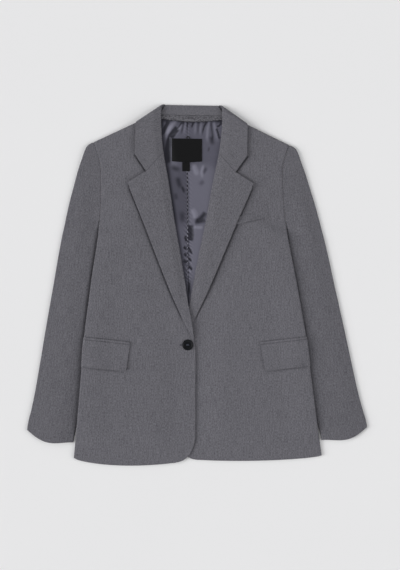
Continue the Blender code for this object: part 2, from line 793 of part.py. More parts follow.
def wing_row(side, share):
    """A row of the collar where it lies on a front, from the roll outwards."""
    start_y = mix(GORGE_INNER[1], WING_TOP_Y, share)
    end_y = mix(COLLAR_TIP[1], WING_SIDE_Y, share)
    start_x = opening_centre(start_y) + side * (roll(start_y) + LAYER + CLOTH / 2)
    end_x = opening_centre(end_y) + side * COLLAR_SIDE_HALF
    first_x = opening_centre(GORGE_INNER[1])
    first_x += side * (roll(GORGE_INNER[1]) + LAYER + CLOTH / 2)
    tip_x = opening_centre(COLLAR_TIP[1]) + side * COLLAR_TIP[0]
    row = roll_columns(side, start_y, start_x)
    bend = 1 - smooth(0, 0.5, share)
    for k in range(COLLAR_COLUMNS):
        u = k / (COLLAR_COLUMNS - 1)
        bent_x, bent_y = gorge_point(side, first_x, u, COLLAR_SPLIT, COLLAR_TIP, 0.0)
        x = mix(start_x, end_x, u) + bend * (bent_x - mix(first_x, tip_x, u))
        y = mix(start_y, end_y, u) + bend * (bent_y - mix(GORGE_INNER[1], COLLAR_TIP[1], u))
        if share == 0:
            x = bent_x
        row.append((x, y, lapel_z(side, x, y)))
    return row


def turn_row(side, angle, tops):
    """A row where the collar folds over the shoulder, on its straight silhouette."""
    run_x = COLLAR_OUTER[0] - COLLAR_CORNER[0]
    run_y = COLLAR_OUTER[1] - COLLAR_CORNER[1]
    reach = math.hypot(run_x, run_y)
    along_x, along_y = run_x / reach, run_y / reach
    turned = (1 - math.sin(angle)) / 2
    small = mix(LAYER, FALL_ROLL, smooth(0, 0.8, turned))

    def place(t, radius, depth=0.0, back=0.0):
        level = radius - depth
        inset = CLOTH / 2 + radius - level * math.cos(angle) + back * math.sin(angle)
        half = COLLAR_CORNER[0] + along_x * t + along_y * inset
        y = COLLAR_CORNER[1] + along_y * t - along_x * inset
        height = CLOTH / 2 + radius + level * math.sin(angle) + back * math.cos(angle)
        return (opening_centre(y) + side * half, y, height)

    start_t = mix(*TURN_START, turned)
    end_t = mix(*TURN_END, turned)
    slant = math.radians(mix(*TURN_SLANT, turned))
    radius = (tops[0] - CLOTH / 2) / 2
    row = [place(start_t, radius)]
    for wrap in half_turn(4, -90, 90)[:-1]:
        out = small * math.cos(wrap)
        t = start_t - out * math.cos(slant)
        row.append(place(t, radius, small * (1 - math.sin(wrap)), out * math.sin(slant)))
    for k, top in enumerate(tops):
        t = mix(start_t, end_t, k / (len(tops) - 1))
        row.append(place(t, (top - CLOTH / 2) / 2))
    return row


def fall_row(share, start, end):
    """A row of the collar behind the neck: its roll and the fall under the back."""
    centre = opening_centre(COLLAR_TOP_Y)
    start_x = mix(centre, start[0], share)
    end_x = mix(centre, end[0], share)
    end_y = mix(FALL_EDGE_Y, end[1], share**2)
    roll_y = COLLAR_TOP_Y - CLOTH / 2 - FALL_ROLL
    low, high = CLOTH / 2, CLOTH / 2 + 2 * FALL_ROLL
    row = []
    for y, spread in ((INNER_RUN_Y, INNER_SPREAD), (roll_y, 1.0)):
        row.append((centre + (start_x - centre) * spread, y, high))
    for turn in half_turn(4, 90, -90)[1:-1]:
        y = roll_y + FALL_ROLL * math.cos(turn)
        row.append((start_x, y, mix(low, high, (1 + math.sin(turn)) / 2)))
    for k in range(COLLAR_COLUMNS):
        u = k / (COLLAR_COLUMNS - 1)
        row.append((mix(start_x, end_x, u), mix(roll_y, end_y, u), low))
    return row


def make_collar():
    """One piece: both wings, the folds over the shoulders and the fall behind."""
    halves = {}
    for side in (RIGHT, LEFT):
        rows = [wing_row(side, share) for share in WING_SHARES]
        tops = [point[2] for point in rows[-1][WRAP_COLUMNS:]]
        rows += [turn_row(side, angle, tops) for angle in half_turn(TURN_STEPS, 90, -90)[1:]]
        start, end = rows[-1][WRAP_COLUMNS], rows[-1][-1]
        rows[-1][:WRAP_COLUMNS] = fall_row(1.0, start, end)[:WRAP_COLUMNS]
        rows += [fall_row(share, start, end) for share in FALL_SHARES]
        halves[side] = rows
    grid = halves[RIGHT] + halves[LEFT][::-1][1:]
    middle = len(halves[RIGHT]) - 1

    def keep(i, j):
        """Only the wings and the fall roll under fully; the folds keep a lip."""
        from_middle = middle - i if i < middle else i + 1 - middle
        on_wing = from_middle > middle - len(WING_SHARES) + 2
        behind = from_middle <= len(FALL_SHARES)
        return j >= 3 or on_wing or behind

    wall("collar", grid, CLOTH, "suiting", keep=keep)


def neck_seam_y(half):
    return NECK_SEAM_Y + 5 * (half / 63) ** 2


def make_stand():
    """Strip between the collar and the back neck."""
    rows = []
    for share in (0.0, 0.5, 1.0):
        row = []
        for k in range(11):
            half = mix(-STAND_HALF, STAND_HALF, k / 10)
            y = mix(INNER_RUN_Y - SEAM_GAP, neck_seam_y(half) + SEAM_GAP, share)
            height = CLOTH / 2 + 2 * FALL_ROLL + STAND_RISE * share
            row.append((opening_centre(y) + half, y, height))
        rows.append(row)
    wall("collar_stand", rows, CLOTH, "suiting")


def pocket_point(side, inwards, y):
    """A place on a front's middle surface, measured inwards from its side fold.

    Negative distances go round the fold.
    """
    radius = lookup(BODY_ROWS, "side_rise", y) / 2
    fold_half = side_half(y) - CLOTH / 2 - radius
    if inwards >= 0:
        x = body_centre(y) + side * (fold_half - inwards)
        return (x, y, front_z(side, x, y))
    turn = -inwards / radius
    x = body_centre(y) + side * (fold_half + radius * math.sin(turn))
    low = back_z(side, body_centre(y) + side * fold_half, y)
    return (x, y, low + radius * (1 + math.cos(turn)))


def pocket_strip(name, side, top, depths, corner, thick):
    """A flap or jetting: it follows the front's points and rounds its side fold."""
    grid = []
    for depth in depths:
        line = []
        past = max(depth - (depths[-1] - corner), 0.0)
        inset = corner - math.sqrt(corner**2 - past**2)
        inner_end = side_half(FLAP_TOP_Y) - FLAP_HALF - FLAP_SLANT * depth / FLAP_DEEP - inset
        stations = [inner_end, mix(inner_end, SIDE_STATIONS[0], 0.5)] + SIDE_STATIONS
        for inwards in stations + FLAP_TURN_STATIONS:
            y = FLAP_TOP_Y + top - depth - FLAP_SLOPE * max(inwards, 0.0)
            line.append(pocket_point(side, inwards, y))
        grid.append(line)
    wall(name, grid, thick, "suiting", out=CLOTH / 2 + SEAM_GAP + thick / 2)


def make_pocket(side):
    name = SIDE_NAME[side]
    corner_top = FLAP_DEEP - FLAP_CORNER
    depths = [0.0, corner_top / 3, corner_top * 2 / 3, corner_top, FLAP_DEEP - 2.0, FLAP_DEEP]
    pocket_strip("flap_" + name, side, 0.0, depths, FLAP_CORNER, CLOTH)
    pocket_strip("jet_" + name, side, JET_TALL + SEAM_GAP, [0.0, JET_TALL], 0.0, WELT)


def make_breast_welt():
    """Welt on the wearer's left chest, its inner end under the lapel."""
    grid = []
    for row in range(3):
        line = []
        for k in range(7):
            share = k / 6
            x = mix(WELT_FROM[0], WELT_TO[0], share)
            y = mix(WELT_FROM[1], WELT_TO[1], share) + WELT_TALL * (1 - row / 2)
            line.append((x, y, front_z(LEFT, x, y)))
        grid.append(line)
    wall("breast_welt", grid, WELT, "suiting", out=CLOTH / 2 + SEAM_GAP + WELT / 2)


def fold_height(x, y):
    """Height of the lining's folds, which die away at the rolls and the label."""
    total = 0.0
    for fold in LINING_FOLDS:
        dx, dy = fold.x1 - fold.x0, fold.y1 - fold.y0
        along = ((x - fold.x0) * dx + (y - fold.y0) * dy) / (dx * dx + dy * dy)
        share = min(max(along, 0.0), 1.0)
        off = math.hypot(x - fold.x0 - dx * share, y - fold.y0 - dy * share)
        if off < fold.wide:
            ridge = math.cos(math.pi / 2 * off / fold.wide) ** 2
            total = max(total, fold.tall * ridge * (1 - 0.8 * share))
    inside = roll(y) - abs(x - opening_centre(y))
    from_label = max(
        abs(x - LABEL_CENTRE[0]) - LABEL_SIZE[0] / 2,
        abs(y - LABEL_CENTRE[1]) - LABEL_SIZE[1] / 2,
    )
    return total * smooth(1, 14, inside) * smooth(10, 22, from_label)


def lining_z(x, y):
    return CLOTH + LAYER_GAP + SATIN / 2 + neck_lift(x, y) + fold_height(x, y)


def make_lining(side):
    """Half of the lining that shows in the opening, from its centre seam."""
    grid = []
    for top in [None] + LINING_HEIGHTS:
        row = []
        for k in range(LINING_COLUMNS):
            y = NECK_SEAM_Y if top is None else top
            seam = LINING_SEAM_X + LINING_SEAM_LEAN * (NECK_SEAM_Y - y) + side * HALF_SEAM
            edge = opening_centre(y) + side * (roll(y) + LINING_MARGIN)
            x = mix(seam, edge, k / (LINING_COLUMNS - 1))
            if top is None:
                y = neck_seam_y(x - opening_centre(y)) - SEAM_GAP
            row.append((x, y, lining_z(x, y)))
        grid.append(row)
    wall("lining_" + SIDE_NAME[side], grid, SATIN, "satin")


def make_tape(name, centre, size, bow):
    """A woven label on the lining, its lower edge bowed out a little."""
    grid = []
    for row in range(5):
        line = []
        for k in range(TAPE_COLUMNS + 1):
            u, low = k / TAPE_COLUMNS, row / 4
            x = centre[0] + size[0] * (u - 0.5)
            y = centre[1] + size[1] * (0.5 - low) - bow * low * math.sin(math.pi * u)
            line.append((x, y, lining_z(x, y)))
        grid.append(line)
    wall(name, grid, TAPE, "tape", out=SATIN / 2 + SEAM_GAP + TAPE / 2)


def make_loop():
    """Hanging loop: a round tape standing up from the label's upper edge."""
    x0 = LABEL_CENTRE[0] + 2.0
    y0 = LABEL_CENTRE[1] + LABEL_SIZE[1] / 2 + SEAM_GAP
    sides, steps = 6, 10
    radius = LOOP_THICK / 2
    points, faces = [], []
    for step in range(steps + 1):
        turn = math.pi * step / steps
        out_x, out_y = math.cos(turn), math.sin(turn)
        x = x0 + (LOOP_WIDE / 2 - radius) * out_x
        y = y0 + (LOOP_TALL - radius) * out_y
        lean = math.hypot(out_x * LOOP_TALL, out_y * LOOP_WIDE)
        across = (out_x * LOOP_TALL / lean, out_y * LOOP_WIDE / lean)
        height = lining_z(x, y) + SATIN / 2 + SEAM_GAP + radius
        for k in range(sides):
            around = 2 * math.pi * k / sides
            off = radius * math.cos(around)
            place = (x + across[0] * off, y + across[1] * off)
            points.append((*place, height + radius * math.sin(around)))
    for step in range(steps):
        for k in range(sides):
            a, b = step * sides + k, step * sides + (k + 1) % sides
            faces.append([a, b, b + sides, a + sides])
    faces.append(list(range(sides))[::-1])
    faces.append([steps * sides + k for k in range(sides)])
    add_object("hang_loop", points, [face[::-1] for face in faces], "tape")


def make_button():
    """Round button with a dished face, on a thread shank through the buttonhole."""
    x, y = BUTTON_CENTRE
    seat = front_z(RIGHT, x, y + BUTTON_RADIUS) + CLOTH / 2 + SEAM_GAP
    foot = front_z(LEFT, x, y) + CLOTH / 2 + SEAM_GAP
    rim, dish = BUTTON_RADIUS - 2.2, BUTTON_TALL - 0.9
    profile = [
        (0.0, foot),
        (SHANK_RADIUS, foot),
        (SHANK_RADIUS, seat),
        (BUTTON_RADIUS - 1.4, seat),
        (BUTTON_RADIUS, seat + 1.1),
        (BUTTON_RADIUS, seat + BUTTON_TALL - 1.1),
        (BUTTON_RADIUS - 0.8, seat + BUTTON_TALL - 0.2),
        (rim + 0.6, seat + BUTTON_TALL),
        (rim - 0.6, seat + dish + 0.4),
        (rim - 2.0, seat + dish),
        (0.0, seat + dish),
    ]
    made = turned("button", profile, x, y, 32, "button")
    for k, place in enumerate((-HOLE_FROM_CENTRE, HOLE_FROM_CENTRE)):
        hole = [(0.0, foot - 3), (HOLE_RADIUS, foot - 3), (HOLE_RADIUS, seat + 6), (0.0, seat + 6)]
        cut(made, turned("button_hole_" + str(k), hole, x + place, y, 12, "button", 0.11))


def turned(name, profile, x, y, segments, material_name, phase=0.0):
    """Turn a profile of radius and height about a vertical axis."""
    points, rings = [], []
    for radius, height in profile:
        if radius == 0.0:
            rings.append([len(points)])
            points.append((x, y, height))
            continue
        rings.append(list(range(len(points), len(points) + segments)))
        for k in range(segments):
            turn = phase + 2 * math.pi * k / segments
            points.append((x + radius * math.cos(turn), y + radius * math.sin(turn), height))
    faces = []
    for low, high in zip(rings, rings[1:]):
        for k in range(segments):
            a, b = low[k % len(low)], low[(k + 1) % len(low)]
            c, d = high[(k + 1) % len(high)], high[k % len(high)]
            faces.append([v for n, v in enumerate((a, b, c, d)) if v not in (a, b, c, d)[:n]])
    return add_object(name, points, faces, material_name)


def cut(made, cutter):
    cutter.hide_render = True
    cutter.display_type = "WIRE"
    modifier = made.modifiers.new("cut", "BOOLEAN")
    modifier.operation = "DIFFERENCE"
    modifier.object = cutter


def cut_buttonhole(front):
    """Keyhole: an eyelet round the shank, and a slit towards the wearer's side."""
    x, y = BUTTON_CENTRE
    eye = SHANK_RADIUS + SEAM_GAP
    outline = []
    for k in range(13):
        turn = math.radians(mix(-160, 160, k / 12))
        outline.append((x + eye * math.cos(turn), y + eye * math.sin(turn)))
    end = x - BUTTONHOLE_LONG
    outline += [(end, y + SLIT / 2), (end, y - SLIT / 2)]
    count = len(outline)
    points = [(px, py, height) for height in (4.3, 9.0) for px, py in outline]
    faces = [[k, (k + 1) % count, count + (k + 1) % count, count + k] for k in range(count)]
    faces += [list(range(count))[::-1], [count + k for k in range(count)]]
    cut(front, add_object("buttonhole_cutter", points, faces, "suiting"))


def centre_on_box():
    """Put the origin under the middle of the whole garment's box."""
    solids = [made for made in bpy.data.objects if not made.hide_render]
    places = [vertex.co for made in solids for vertex in made.data.vertices]
    middle = [
        (max(place[axis] for place in places) + min(place[axis] for place in places)) / 2
        for axis in (0, 1)
    ]
    for made in bpy.data.objects:
        made.data.transform(Matrix.Translation((-middle[0], -middle[1], 0.0)))


def main():
    for made in list(bpy.data.objects):
        bpy.data.objects.remove(made)
    for side in (RIGHT, LEFT):
        make_back(side)
        make_front(side)
        make_sleeve(side)
        make_lapel(side)
        make_lining(side)
        make_pocket(side)
    make_collar()
    make_stand()
    make_breast_welt()
    make_tape("label", LABEL_CENTRE, LABEL_SIZE, 2.0)
    make_tape("size_tab", TAB_CENTRE, TAB_SIZE, 0.0)
    make_loop()
    make_button()
    centre_on_box()


main()
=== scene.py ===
import math

import bpy
import numpy as np
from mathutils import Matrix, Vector


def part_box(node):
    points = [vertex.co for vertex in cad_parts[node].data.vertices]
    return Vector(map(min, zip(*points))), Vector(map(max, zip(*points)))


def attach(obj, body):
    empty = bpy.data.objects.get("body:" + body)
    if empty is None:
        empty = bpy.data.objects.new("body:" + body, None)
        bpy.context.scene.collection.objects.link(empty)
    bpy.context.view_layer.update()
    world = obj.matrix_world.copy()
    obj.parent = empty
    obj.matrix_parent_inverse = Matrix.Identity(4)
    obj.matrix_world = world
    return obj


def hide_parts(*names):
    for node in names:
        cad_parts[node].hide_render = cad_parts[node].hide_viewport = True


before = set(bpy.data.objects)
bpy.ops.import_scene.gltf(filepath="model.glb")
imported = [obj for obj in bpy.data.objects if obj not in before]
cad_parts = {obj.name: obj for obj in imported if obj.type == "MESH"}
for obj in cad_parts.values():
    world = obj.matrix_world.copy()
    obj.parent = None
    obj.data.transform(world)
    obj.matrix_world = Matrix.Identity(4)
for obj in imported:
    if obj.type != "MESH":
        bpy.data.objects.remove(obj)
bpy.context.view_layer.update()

# A single breasted blazer, buttoned and laid flat on its back. Every panel is a
# shell of cloth round a grid of points in millimetres: x runs to the wearer's
# left, y to the collar and z up from the floor.

mm = 0.001
right, left = -1, 1  # the wearer's sides, by the sign of x
sideName = {right: "right", left: "left"}
cloth = {"thick": 1.5, "satin": 1.0, "tape": 1.0, "welt": 1.2, "gap": 0.4, "seam": 0.3}
layer = cloth["thick"] + cloth["gap"]
halfThick = cloth["thick"] / 2
halfSeam = cloth["seam"] / 2


# small helpers

def clamp(value):
    return min(max(value, 0.0), 1.0)


def smooth(start, end, value):
    share = clamp((value - start) / (end - start))
    return share * share * (3 - 2 * share)


def mix(a, b, share):
    return a + (b - a) * share


def bell(off, wide):
    return math.exp(-((off / wide) ** 2))


def evenly(start, end, count):
    return [mix(start, end, k / (count - 1)) for k in range(count)]


def smoothCurve(rows, column):
    # a column of a table, read on a smooth curve through its rows
    heights = [row[0] for row in rows]
    values = [row[column] for row in rows]
    slopes = []
    for i in range(len(rows)):
        low, high = max(i - 1, 0), min(i + 1, len(rows) - 1)
        slopes.append((values[high] - values[low]) / (heights[high] - heights[low]))

    def at(y):
        if y >= heights[0]:
            return values[0]
        if y <= heights[-1]:
            return values[-1]
        i = 0
        while y < heights[i + 1]:
            i += 1
        step = heights[i + 1] - heights[i]
        t = (y - heights[i]) / step
        return (
            (2 * t**3 - 3 * t**2 + 1) * values[i]
            + (t**3 - 2 * t**2 + t) * step * slopes[i]
            + (3 * t**2 - 2 * t**3) * values[i + 1]
            + (t**3 - t**2) * step * slopes[i + 1]
        )

    return at


def spread(stops, step, rim=0.0):
    # values through all the stops, no more than a step apart; rim adds one near each end
    values = []
    for a, b in zip(stops, stops[1:]):
        count = max(1, math.ceil(abs(b - a) / step - 1e-6))
        values += [mix(a, b, k / count) for k in range(count)]
    values.append(stops[-1])
    if rim:
        way = math.copysign(rim, stops[-1] - stops[0])
        values = [values[0], values[0] + way] + values[1:-1] + [values[-1] - way, values[-1]]
    return values


def turnAngles(steps, start, end):
    return [math.radians(mix(start, end, k / steps)) for k in range(steps + 1)]


def foldField(rows):
    # soft ridges and troughs along paths: height, half width, fade in, fade out, path
    ready = []
    for tall, wide, fadeIn, fadeOut, path in rows:
        reach = [0.0]
        for start, end in zip(path, path[1:]):
            reach.append(reach[-1] + math.dist(start, end))
        xs, ys = zip(*path)
        box = (min(xs) - wide, max(xs) + wide, min(ys) - wide, max(ys) + wide)
        ready.append((tall, wide, fadeIn, fadeOut, path, reach, box))

    def at(x, y):
        total = 0.0
        for tall, wide, fadeIn, fadeOut, path, reach, box in ready:
            if not (box[0] < x < box[1] and box[2] < y < box[3]):
                continue
            best, along = wide, 0.0
            for k in range(len(path) - 1):
                (x0, y0), (x1, y1) = path[k], path[k + 1]
                dx, dy = x1 - x0, y1 - y0
                share = clamp(((x - x0) * dx + (y - y0) * dy) / (dx * dx + dy * dy))
                off = math.hypot(x - x0 - dx * share, y - y0 - dy * share)
                if off < best:
                    best, along = off, mix(reach[k], reach[k + 1], share) / reach[-1]
            if best < wide:
                ends = smooth(0, fadeIn, along) if fadeIn else 1.0
                ends *= 1 - smooth(1 - fadeOut, 1, along) if fadeOut else 1.0
                total += tall * ends * math.cos(math.pi / 2 * best / wide) ** 2
        return total

    return at


# how the garment lies

body = {
    "neckX": -12.2, "lean": 0.0215, "leanTop": 250.0,  # centre line of the body
    "shoulderTilt": -0.0152, "hemTilt": 0.011,
    "shoulderY": 297.4, "underarmY": 132.0, "cornerTopY": -314.0, "sideHemY": -361.0,
    "neckSeamY": 343.0, "collarTopY": 378.0,
    "armhole": (276, 270, 261, 252, 226, 196, 164, 133, 132),  # heights that meet the sleeve
    "rows": [  # height, half width, rise of the side fold
        (297.4, 205.4, 4.2), (283.0, 200.9, 4.2), (250.0, 191.8, 4.2), (198.5, 191.4, 4.2),
        (162.0, 193.2, 3.3), (132.0, 196.4, 2.1), (100.0, 199.6, 3.0), (63.0, 205.8, 4.2),
        (27.7, 212.1, 4.8), (-10.0, 218.2, 4.8), (-111.7, 233.5, 4.8), (-168.6, 239.4, 4.8),
        (-232.7, 245.9, 4.6), (-295.0, 252.8, 4.0), (-361.0, 260.8, 3.0),
    ],
}
opening = {
    "x": -11.2, "lean": -0.0151, "top": 376.0,
    "rows": [  # height, roll line, lapel edge, rise on the lapping and on the covered side
        (378.0, 63.3, 150.0, 5.2, 5.2), (342.7, 64.0, 150.0, 5.4, 5.4),
        (288.0, 59.6, 145.0, 6.6, 6.8), (214.6, 46.1, 131.2, 7.2, 8.4),
        (140.0, 33.6, 101.1, 7.4, 8.8), (50.0, 16.6, 64.9, 7.4, 7.8),
        (10.9, 9.6, 49.0, 7.4, 6.6), (-21.4, 4.4, 35.3, 7.8, 4.8), (-47.3, 0.0, 23.3, 8.2, 3.6),
        (-64.0, -4.0, 15.5, 8.2, 3.2), (-84.0, -7.9, 6.2, 7.6, 2.6),
        (-112.0, -11.6, -6.5, 5.6, 2.3), (-138.0, -15.1, -15.1, 5.6, 2.3),
        (-230.0, -16.5, -16.5, 5.4, 2.3), (-314.0, -17.8, -17.8, 5.0, 2.2),
        (-372.0, -17.8, -17.8, 4.6, 2.2),
    ],
}
sideHalf = smoothCurve(body["rows"], 1)
sideRise = smoothCurve(body["rows"], 2)
rollHalf = smoothCurve(opening["rows"], 1)
lapelHalf = smoothCurve(opening["rows"], 2)
edgeRise = {right: smoothCurve(opening["rows"], 3), left: smoothCurve(opening["rows"], 4)}


def bodyCentre(y):
    return body["neckX"] + body["lean"] * max(0.0, body["leanTop"] - y)


def openingCentre(y):
    return opening["x"] + opening["lean"] * (opening["top"] - y)


def bodyX(side, y, half):
    return bodyCentre(y) + side * half


def openingX(side, y, half):
    return openingCentre(y) + side * half


def fromSide(side, x, y):
    return sideHalf(y) - side * (x - bodyCentre(y))


def fromRoll(side, x, y):
    return side * (x - openingCentre(y)) - rollHalf(y)


def insideRoll(x, y):
    return rollHalf(y) - abs(x - openingCentre(y))


def foldHalf(y):
    # where a front starts to turn round its side fold
    return sideHalf(y) - halfThick - sideRise(y) / 2


def tilt(y):
    share = (body["shoulderY"] - y) / (body["shoulderY"] - body["sideHemY"])
    return mix(body["shoulderTilt"], body["hemTilt"], share)


def findShift():
    # the frame's origin is the middle of the whole garment: the button gives the step to it
    low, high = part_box("button")
    x, y = button["centre"]
    return (low[0] + high[0]) / 2 - x * mm, (low[1] + high[1]) / 2 - (y + tilt(y) * x) * mm


def place(points):
    laid = np.array(points, dtype=float)
    laid[:, 1] += tilt(laid[:, 1]) * laid[:, 0]
    laid *= mm
    laid[:, 0] += shift[0]
    laid[:, 1] += shift[1]
    return laid


# materials

colourA, colourB = 6, 7  # the colour inputs of a Mix node


def toLinear(text, share=1.0):
    # sRGB hex to linear colour, or to a share of its light
    out = []
    for k in (1, 3, 5):
        value = int(text[k:k + 2], 16) / 255
        value = value / 12.92 if value <= 0.04045 else ((value + 0.055) / 1.055) ** 2.4
        out.append(value * share)
    return (*out, 1.0)


def setInputs(tree, node, inputs):
    # an input is a value, another node's socket, or a node for its first socket in use
    for name, value in inputs.items():
        if isinstance(value, bpy.types.Node):
            value = next(socket for socket in value.outputs if socket.enabled)
        if isinstance(value, bpy.types.NodeSocket):
            tree.links.new(value, node.inputs[name])
        else:
            node.inputs[name].default_value = value


def addNode(tree, kind, inputs=None, **settings):
    node = tree.nodes.new(kind)
    for name, value in settings.items():
        setattr(node, name, value)
    setInputs(tree, node, inputs or {})
    return node


def newMaterial(name):
    made = bpy.data.materials.new(name)
    made.use_nodes = True
    return made, made.node_tree


def finishMaterial(made, inputs):
    setInputs(made.node_tree, made.node_tree.nodes["Principled BSDF"], inputs)
    return made


def waveScale(wide):
    # a wave texture's scale for light and dark bands of this width in millimetres: the
    # texture counts 20 radians to a unit, and a band is half a turn
    return 1000 / wide / 20 * 3.14


suitingSpec = {
    "yarnLight": "#75747a", "yarnDark": "#4d4c52",
    "streakMm": (1.7, 26.0), "fleckMm": (1.7, 4.0), "cloudMm": 70.0,
    "streaks": 1.1, "flecks": (0.2, 0.8), "clouds": 0.12,  # how much each pattern counts
    "balance": 1.11, "even": 0.6,  # the three patterns' middle, and how evenly they mix
    "twillMm": 1.1, "twillTurn": 27, "twillWavy": 0.8, "twillShade": 0.18,
    "twillBump": 0.35, "napBump": 0.15, "bumpDeep": 0.0002,
    "roughness": (0.83, 0.95), "specular": 0.12, "sheen": 0.06, "sheenRoughness": 0.5,
}


def makeSuiting(name, spec, shade=1.0):
    # worsted twill, a grey melange of light and dark yarns, matt with a faint woolly sheen;
    # real yarns are 0.3 mm, so the twill and the streaks are drawn coarser to show
    made, tree = newMaterial(name)
    where = addNode(tree, "ShaderNodeUVMap", uv_map="weave")
    grains = []
    for (wide, long), detail in ((spec["streakMm"], 2.0), (spec["fleckMm"], 1.0)):
        size = addNode(tree, "ShaderNodeMapping", {
            "Vector": where, "Scale": (1000 / wide, 1000 / long, 1.0)})
        grains.append(addNode(tree, "ShaderNodeTexNoise", {
            "Vector": size, "Scale": 1.0, "Detail": detail}))
    streak, fleck = grains
    cloud = addNode(tree, "ShaderNodeTexNoise", {
        "Vector": where, "Scale": 1000 / spec["cloudMm"], "Detail": 2.0})
    # mixed yarns: streaks, flecks and broad clouds add up to one share of light yarn
    dots = addNode(tree, "ShaderNodeMapRange", {
        "Value": fleck, "From Min": spec["flecks"][0], "From Max": spec["flecks"][1]})
    half = addNode(tree, "ShaderNodeMath", {
        0: streak, 1: spec["streaks"]}, operation="MULTIPLY")
    both = addNode(tree, "ShaderNodeMath", {0: half, 1: dots}, operation="ADD")
    total = addNode(tree, "ShaderNodeMath", {
        0: cloud, 1: spec["clouds"], 2: both}, operation="MULTIPLY_ADD")
    share = addNode(tree, "ShaderNodeMapRange", {
        "Value": total, "From Min": spec["balance"] - spec["even"],
        "From Max": spec["balance"] + spec["even"]})
    twillSize = addNode(tree, "ShaderNodeMapping", {
        "Vector": where, "Rotation": (0.0, 0.0, math.radians(spec["twillTurn"]))})
    twill = addNode(tree, "ShaderNodeTexWave", {
        "Vector": twillSize, "Scale": waveScale(spec["twillMm"]),
        "Distortion": spec["twillWavy"], "Detail": 1.0, "Detail Scale": 2.0},
        bands_direction="X")
    yarns = addNode(tree, "ShaderNodeMix", {
        "Factor": share, colourA: toLinear(spec["yarnDark"], shade),
        colourB: toLinear(spec["yarnLight"], shade)}, data_type="RGBA")
    ribs = addNode(tree, "ShaderNodeMix", {
        "Factor": spec["twillShade"], colourA: yarns, colourB: twill},
        data_type="RGBA", blend_type="SOFT_LIGHT")
    bump = addNode(tree, "ShaderNodeBump", {
        "Strength": spec["twillBump"], "Distance": spec["bumpDeep"],
        "Height": twill.outputs["Fac"]})
    nap = addNode(tree, "ShaderNodeBump", {
        "Strength": spec["napBump"], "Distance": spec["bumpDeep"],
        "Height": fleck, "Normal": bump})
    rough = addNode(tree, "ShaderNodeMapRange", {
        "Value": fleck, "To Min": spec["roughness"][0], "To Max": spec["roughness"][1]})
    return finishMaterial(made, {
        "Base Color": ribs, "Roughness": rough, "Normal": nap, "Sheen Weight": spec["sheen"],
        "Sheen Roughness": spec["sheenRoughness"], "Specular IOR Level": spec["specular"]})


satinSpec = {
    "warp": "#5b5a67", "weft": "#4b4a55", "threadMm": 0.7, "threadLong": 9, "shadeMm": 30.0,
    # painted light: deep is the painted shade in the folds, the colour after it the painted
    # highlight on their crests
    "deep": "#100f17", "paintedHighlight": "#777683", "darkest": 0.9, "palest": 0.8, "flat": 0.5,
    "bump": 0.15, "bumpDeep": 0.0001, "roughness": (0.46, 0.6),
    "specular": 0.45, "tint": (0.84, 0.85, 1.0, 1.0), "anisotropic": 0.2,
}


def makeSatin(spec):
    # polyester lining satin: smooth filament yarns, so folds catch broad soft lights; real
    # yarns are 0.1 mm, so they are drawn coarser to show
    made, tree = newMaterial("liningSatin")
    where = addNode(tree, "ShaderNodeUVMap", uv_map="weave")
    thread = 1000 / spec["threadMm"]
    threads = addNode(tree, "ShaderNodeMapping", {
        "Vector": where, "Scale": (thread, thread / spec["threadLong"], 1.0)})
    fine = addNode(tree, "ShaderNodeTexNoise", {"Vector": threads, "Scale": 1.0, "Detail": 1.0})
    broad = addNode(tree, "ShaderNodeTexNoise", {
        "Vector": where, "Scale": 1000 / spec["shadeMm"], "Detail": 2.0})
    share = addNode(tree, "ShaderNodeMath", {0: fine, 1: broad}, operation="MULTIPLY")
    plain = addNode(tree, "ShaderNodeMix", {
        "Factor": share, colourA: toLinear(spec["weft"]), colourB: toLinear(spec["warp"])},
        data_type="RGBA")
    # painted shade darkens the satin's colour down in its folds, and a painted highlight makes it
    # paler along their crests
    paintedLight = addNode(tree, "ShaderNodeAttribute", attribute_name="paintedLight").outputs["Fac"]
    down = addNode(tree, "ShaderNodeMapRange", {
        "Value": paintedLight, "From Min": spec["flat"], "To Max": spec["darkest"]})
    paintedHighlight = addNode(tree, "ShaderNodeMapRange", {
        "Value": paintedLight, "From Min": spec["flat"], "From Max": 0.0, "To Max": spec["palest"]})
    darker = addNode(tree, "ShaderNodeMix", {
        "Factor": down, colourA: plain, colourB: toLinear(spec["deep"])}, data_type="RGBA")
    colour = addNode(tree, "ShaderNodeMix", {
        "Factor": paintedHighlight, colourA: darker, colourB: toLinear(spec["paintedHighlight"])}, data_type="RGBA")
    rough = addNode(tree, "ShaderNodeMapRange", {
        "Value": broad, "To Min": spec["roughness"][0], "To Max": spec["roughness"][1]})
    bump = addNode(tree, "ShaderNodeBump", {
        "Strength": spec["bump"], "Distance": spec["bumpDeep"], "Height": fine})
    return finishMaterial(made, {
        "Base Color": colour, "Roughness": rough, "Normal": bump,
        "Specular IOR Level": spec["specular"], "Specular Tint": spec["tint"],
        "Anisotropic": spec["anisotropic"]})


tapeSpec = {
    "black": "#0a0a0b", "worn": "#151517", "ribMm": 0.9, "ribWavy": 0.4, "grainScale": 900.0,
    "bump": 0.4, "bumpDeep": 0.0002, "roughness": (0.54, 0.72), "specular": 0.12,
}


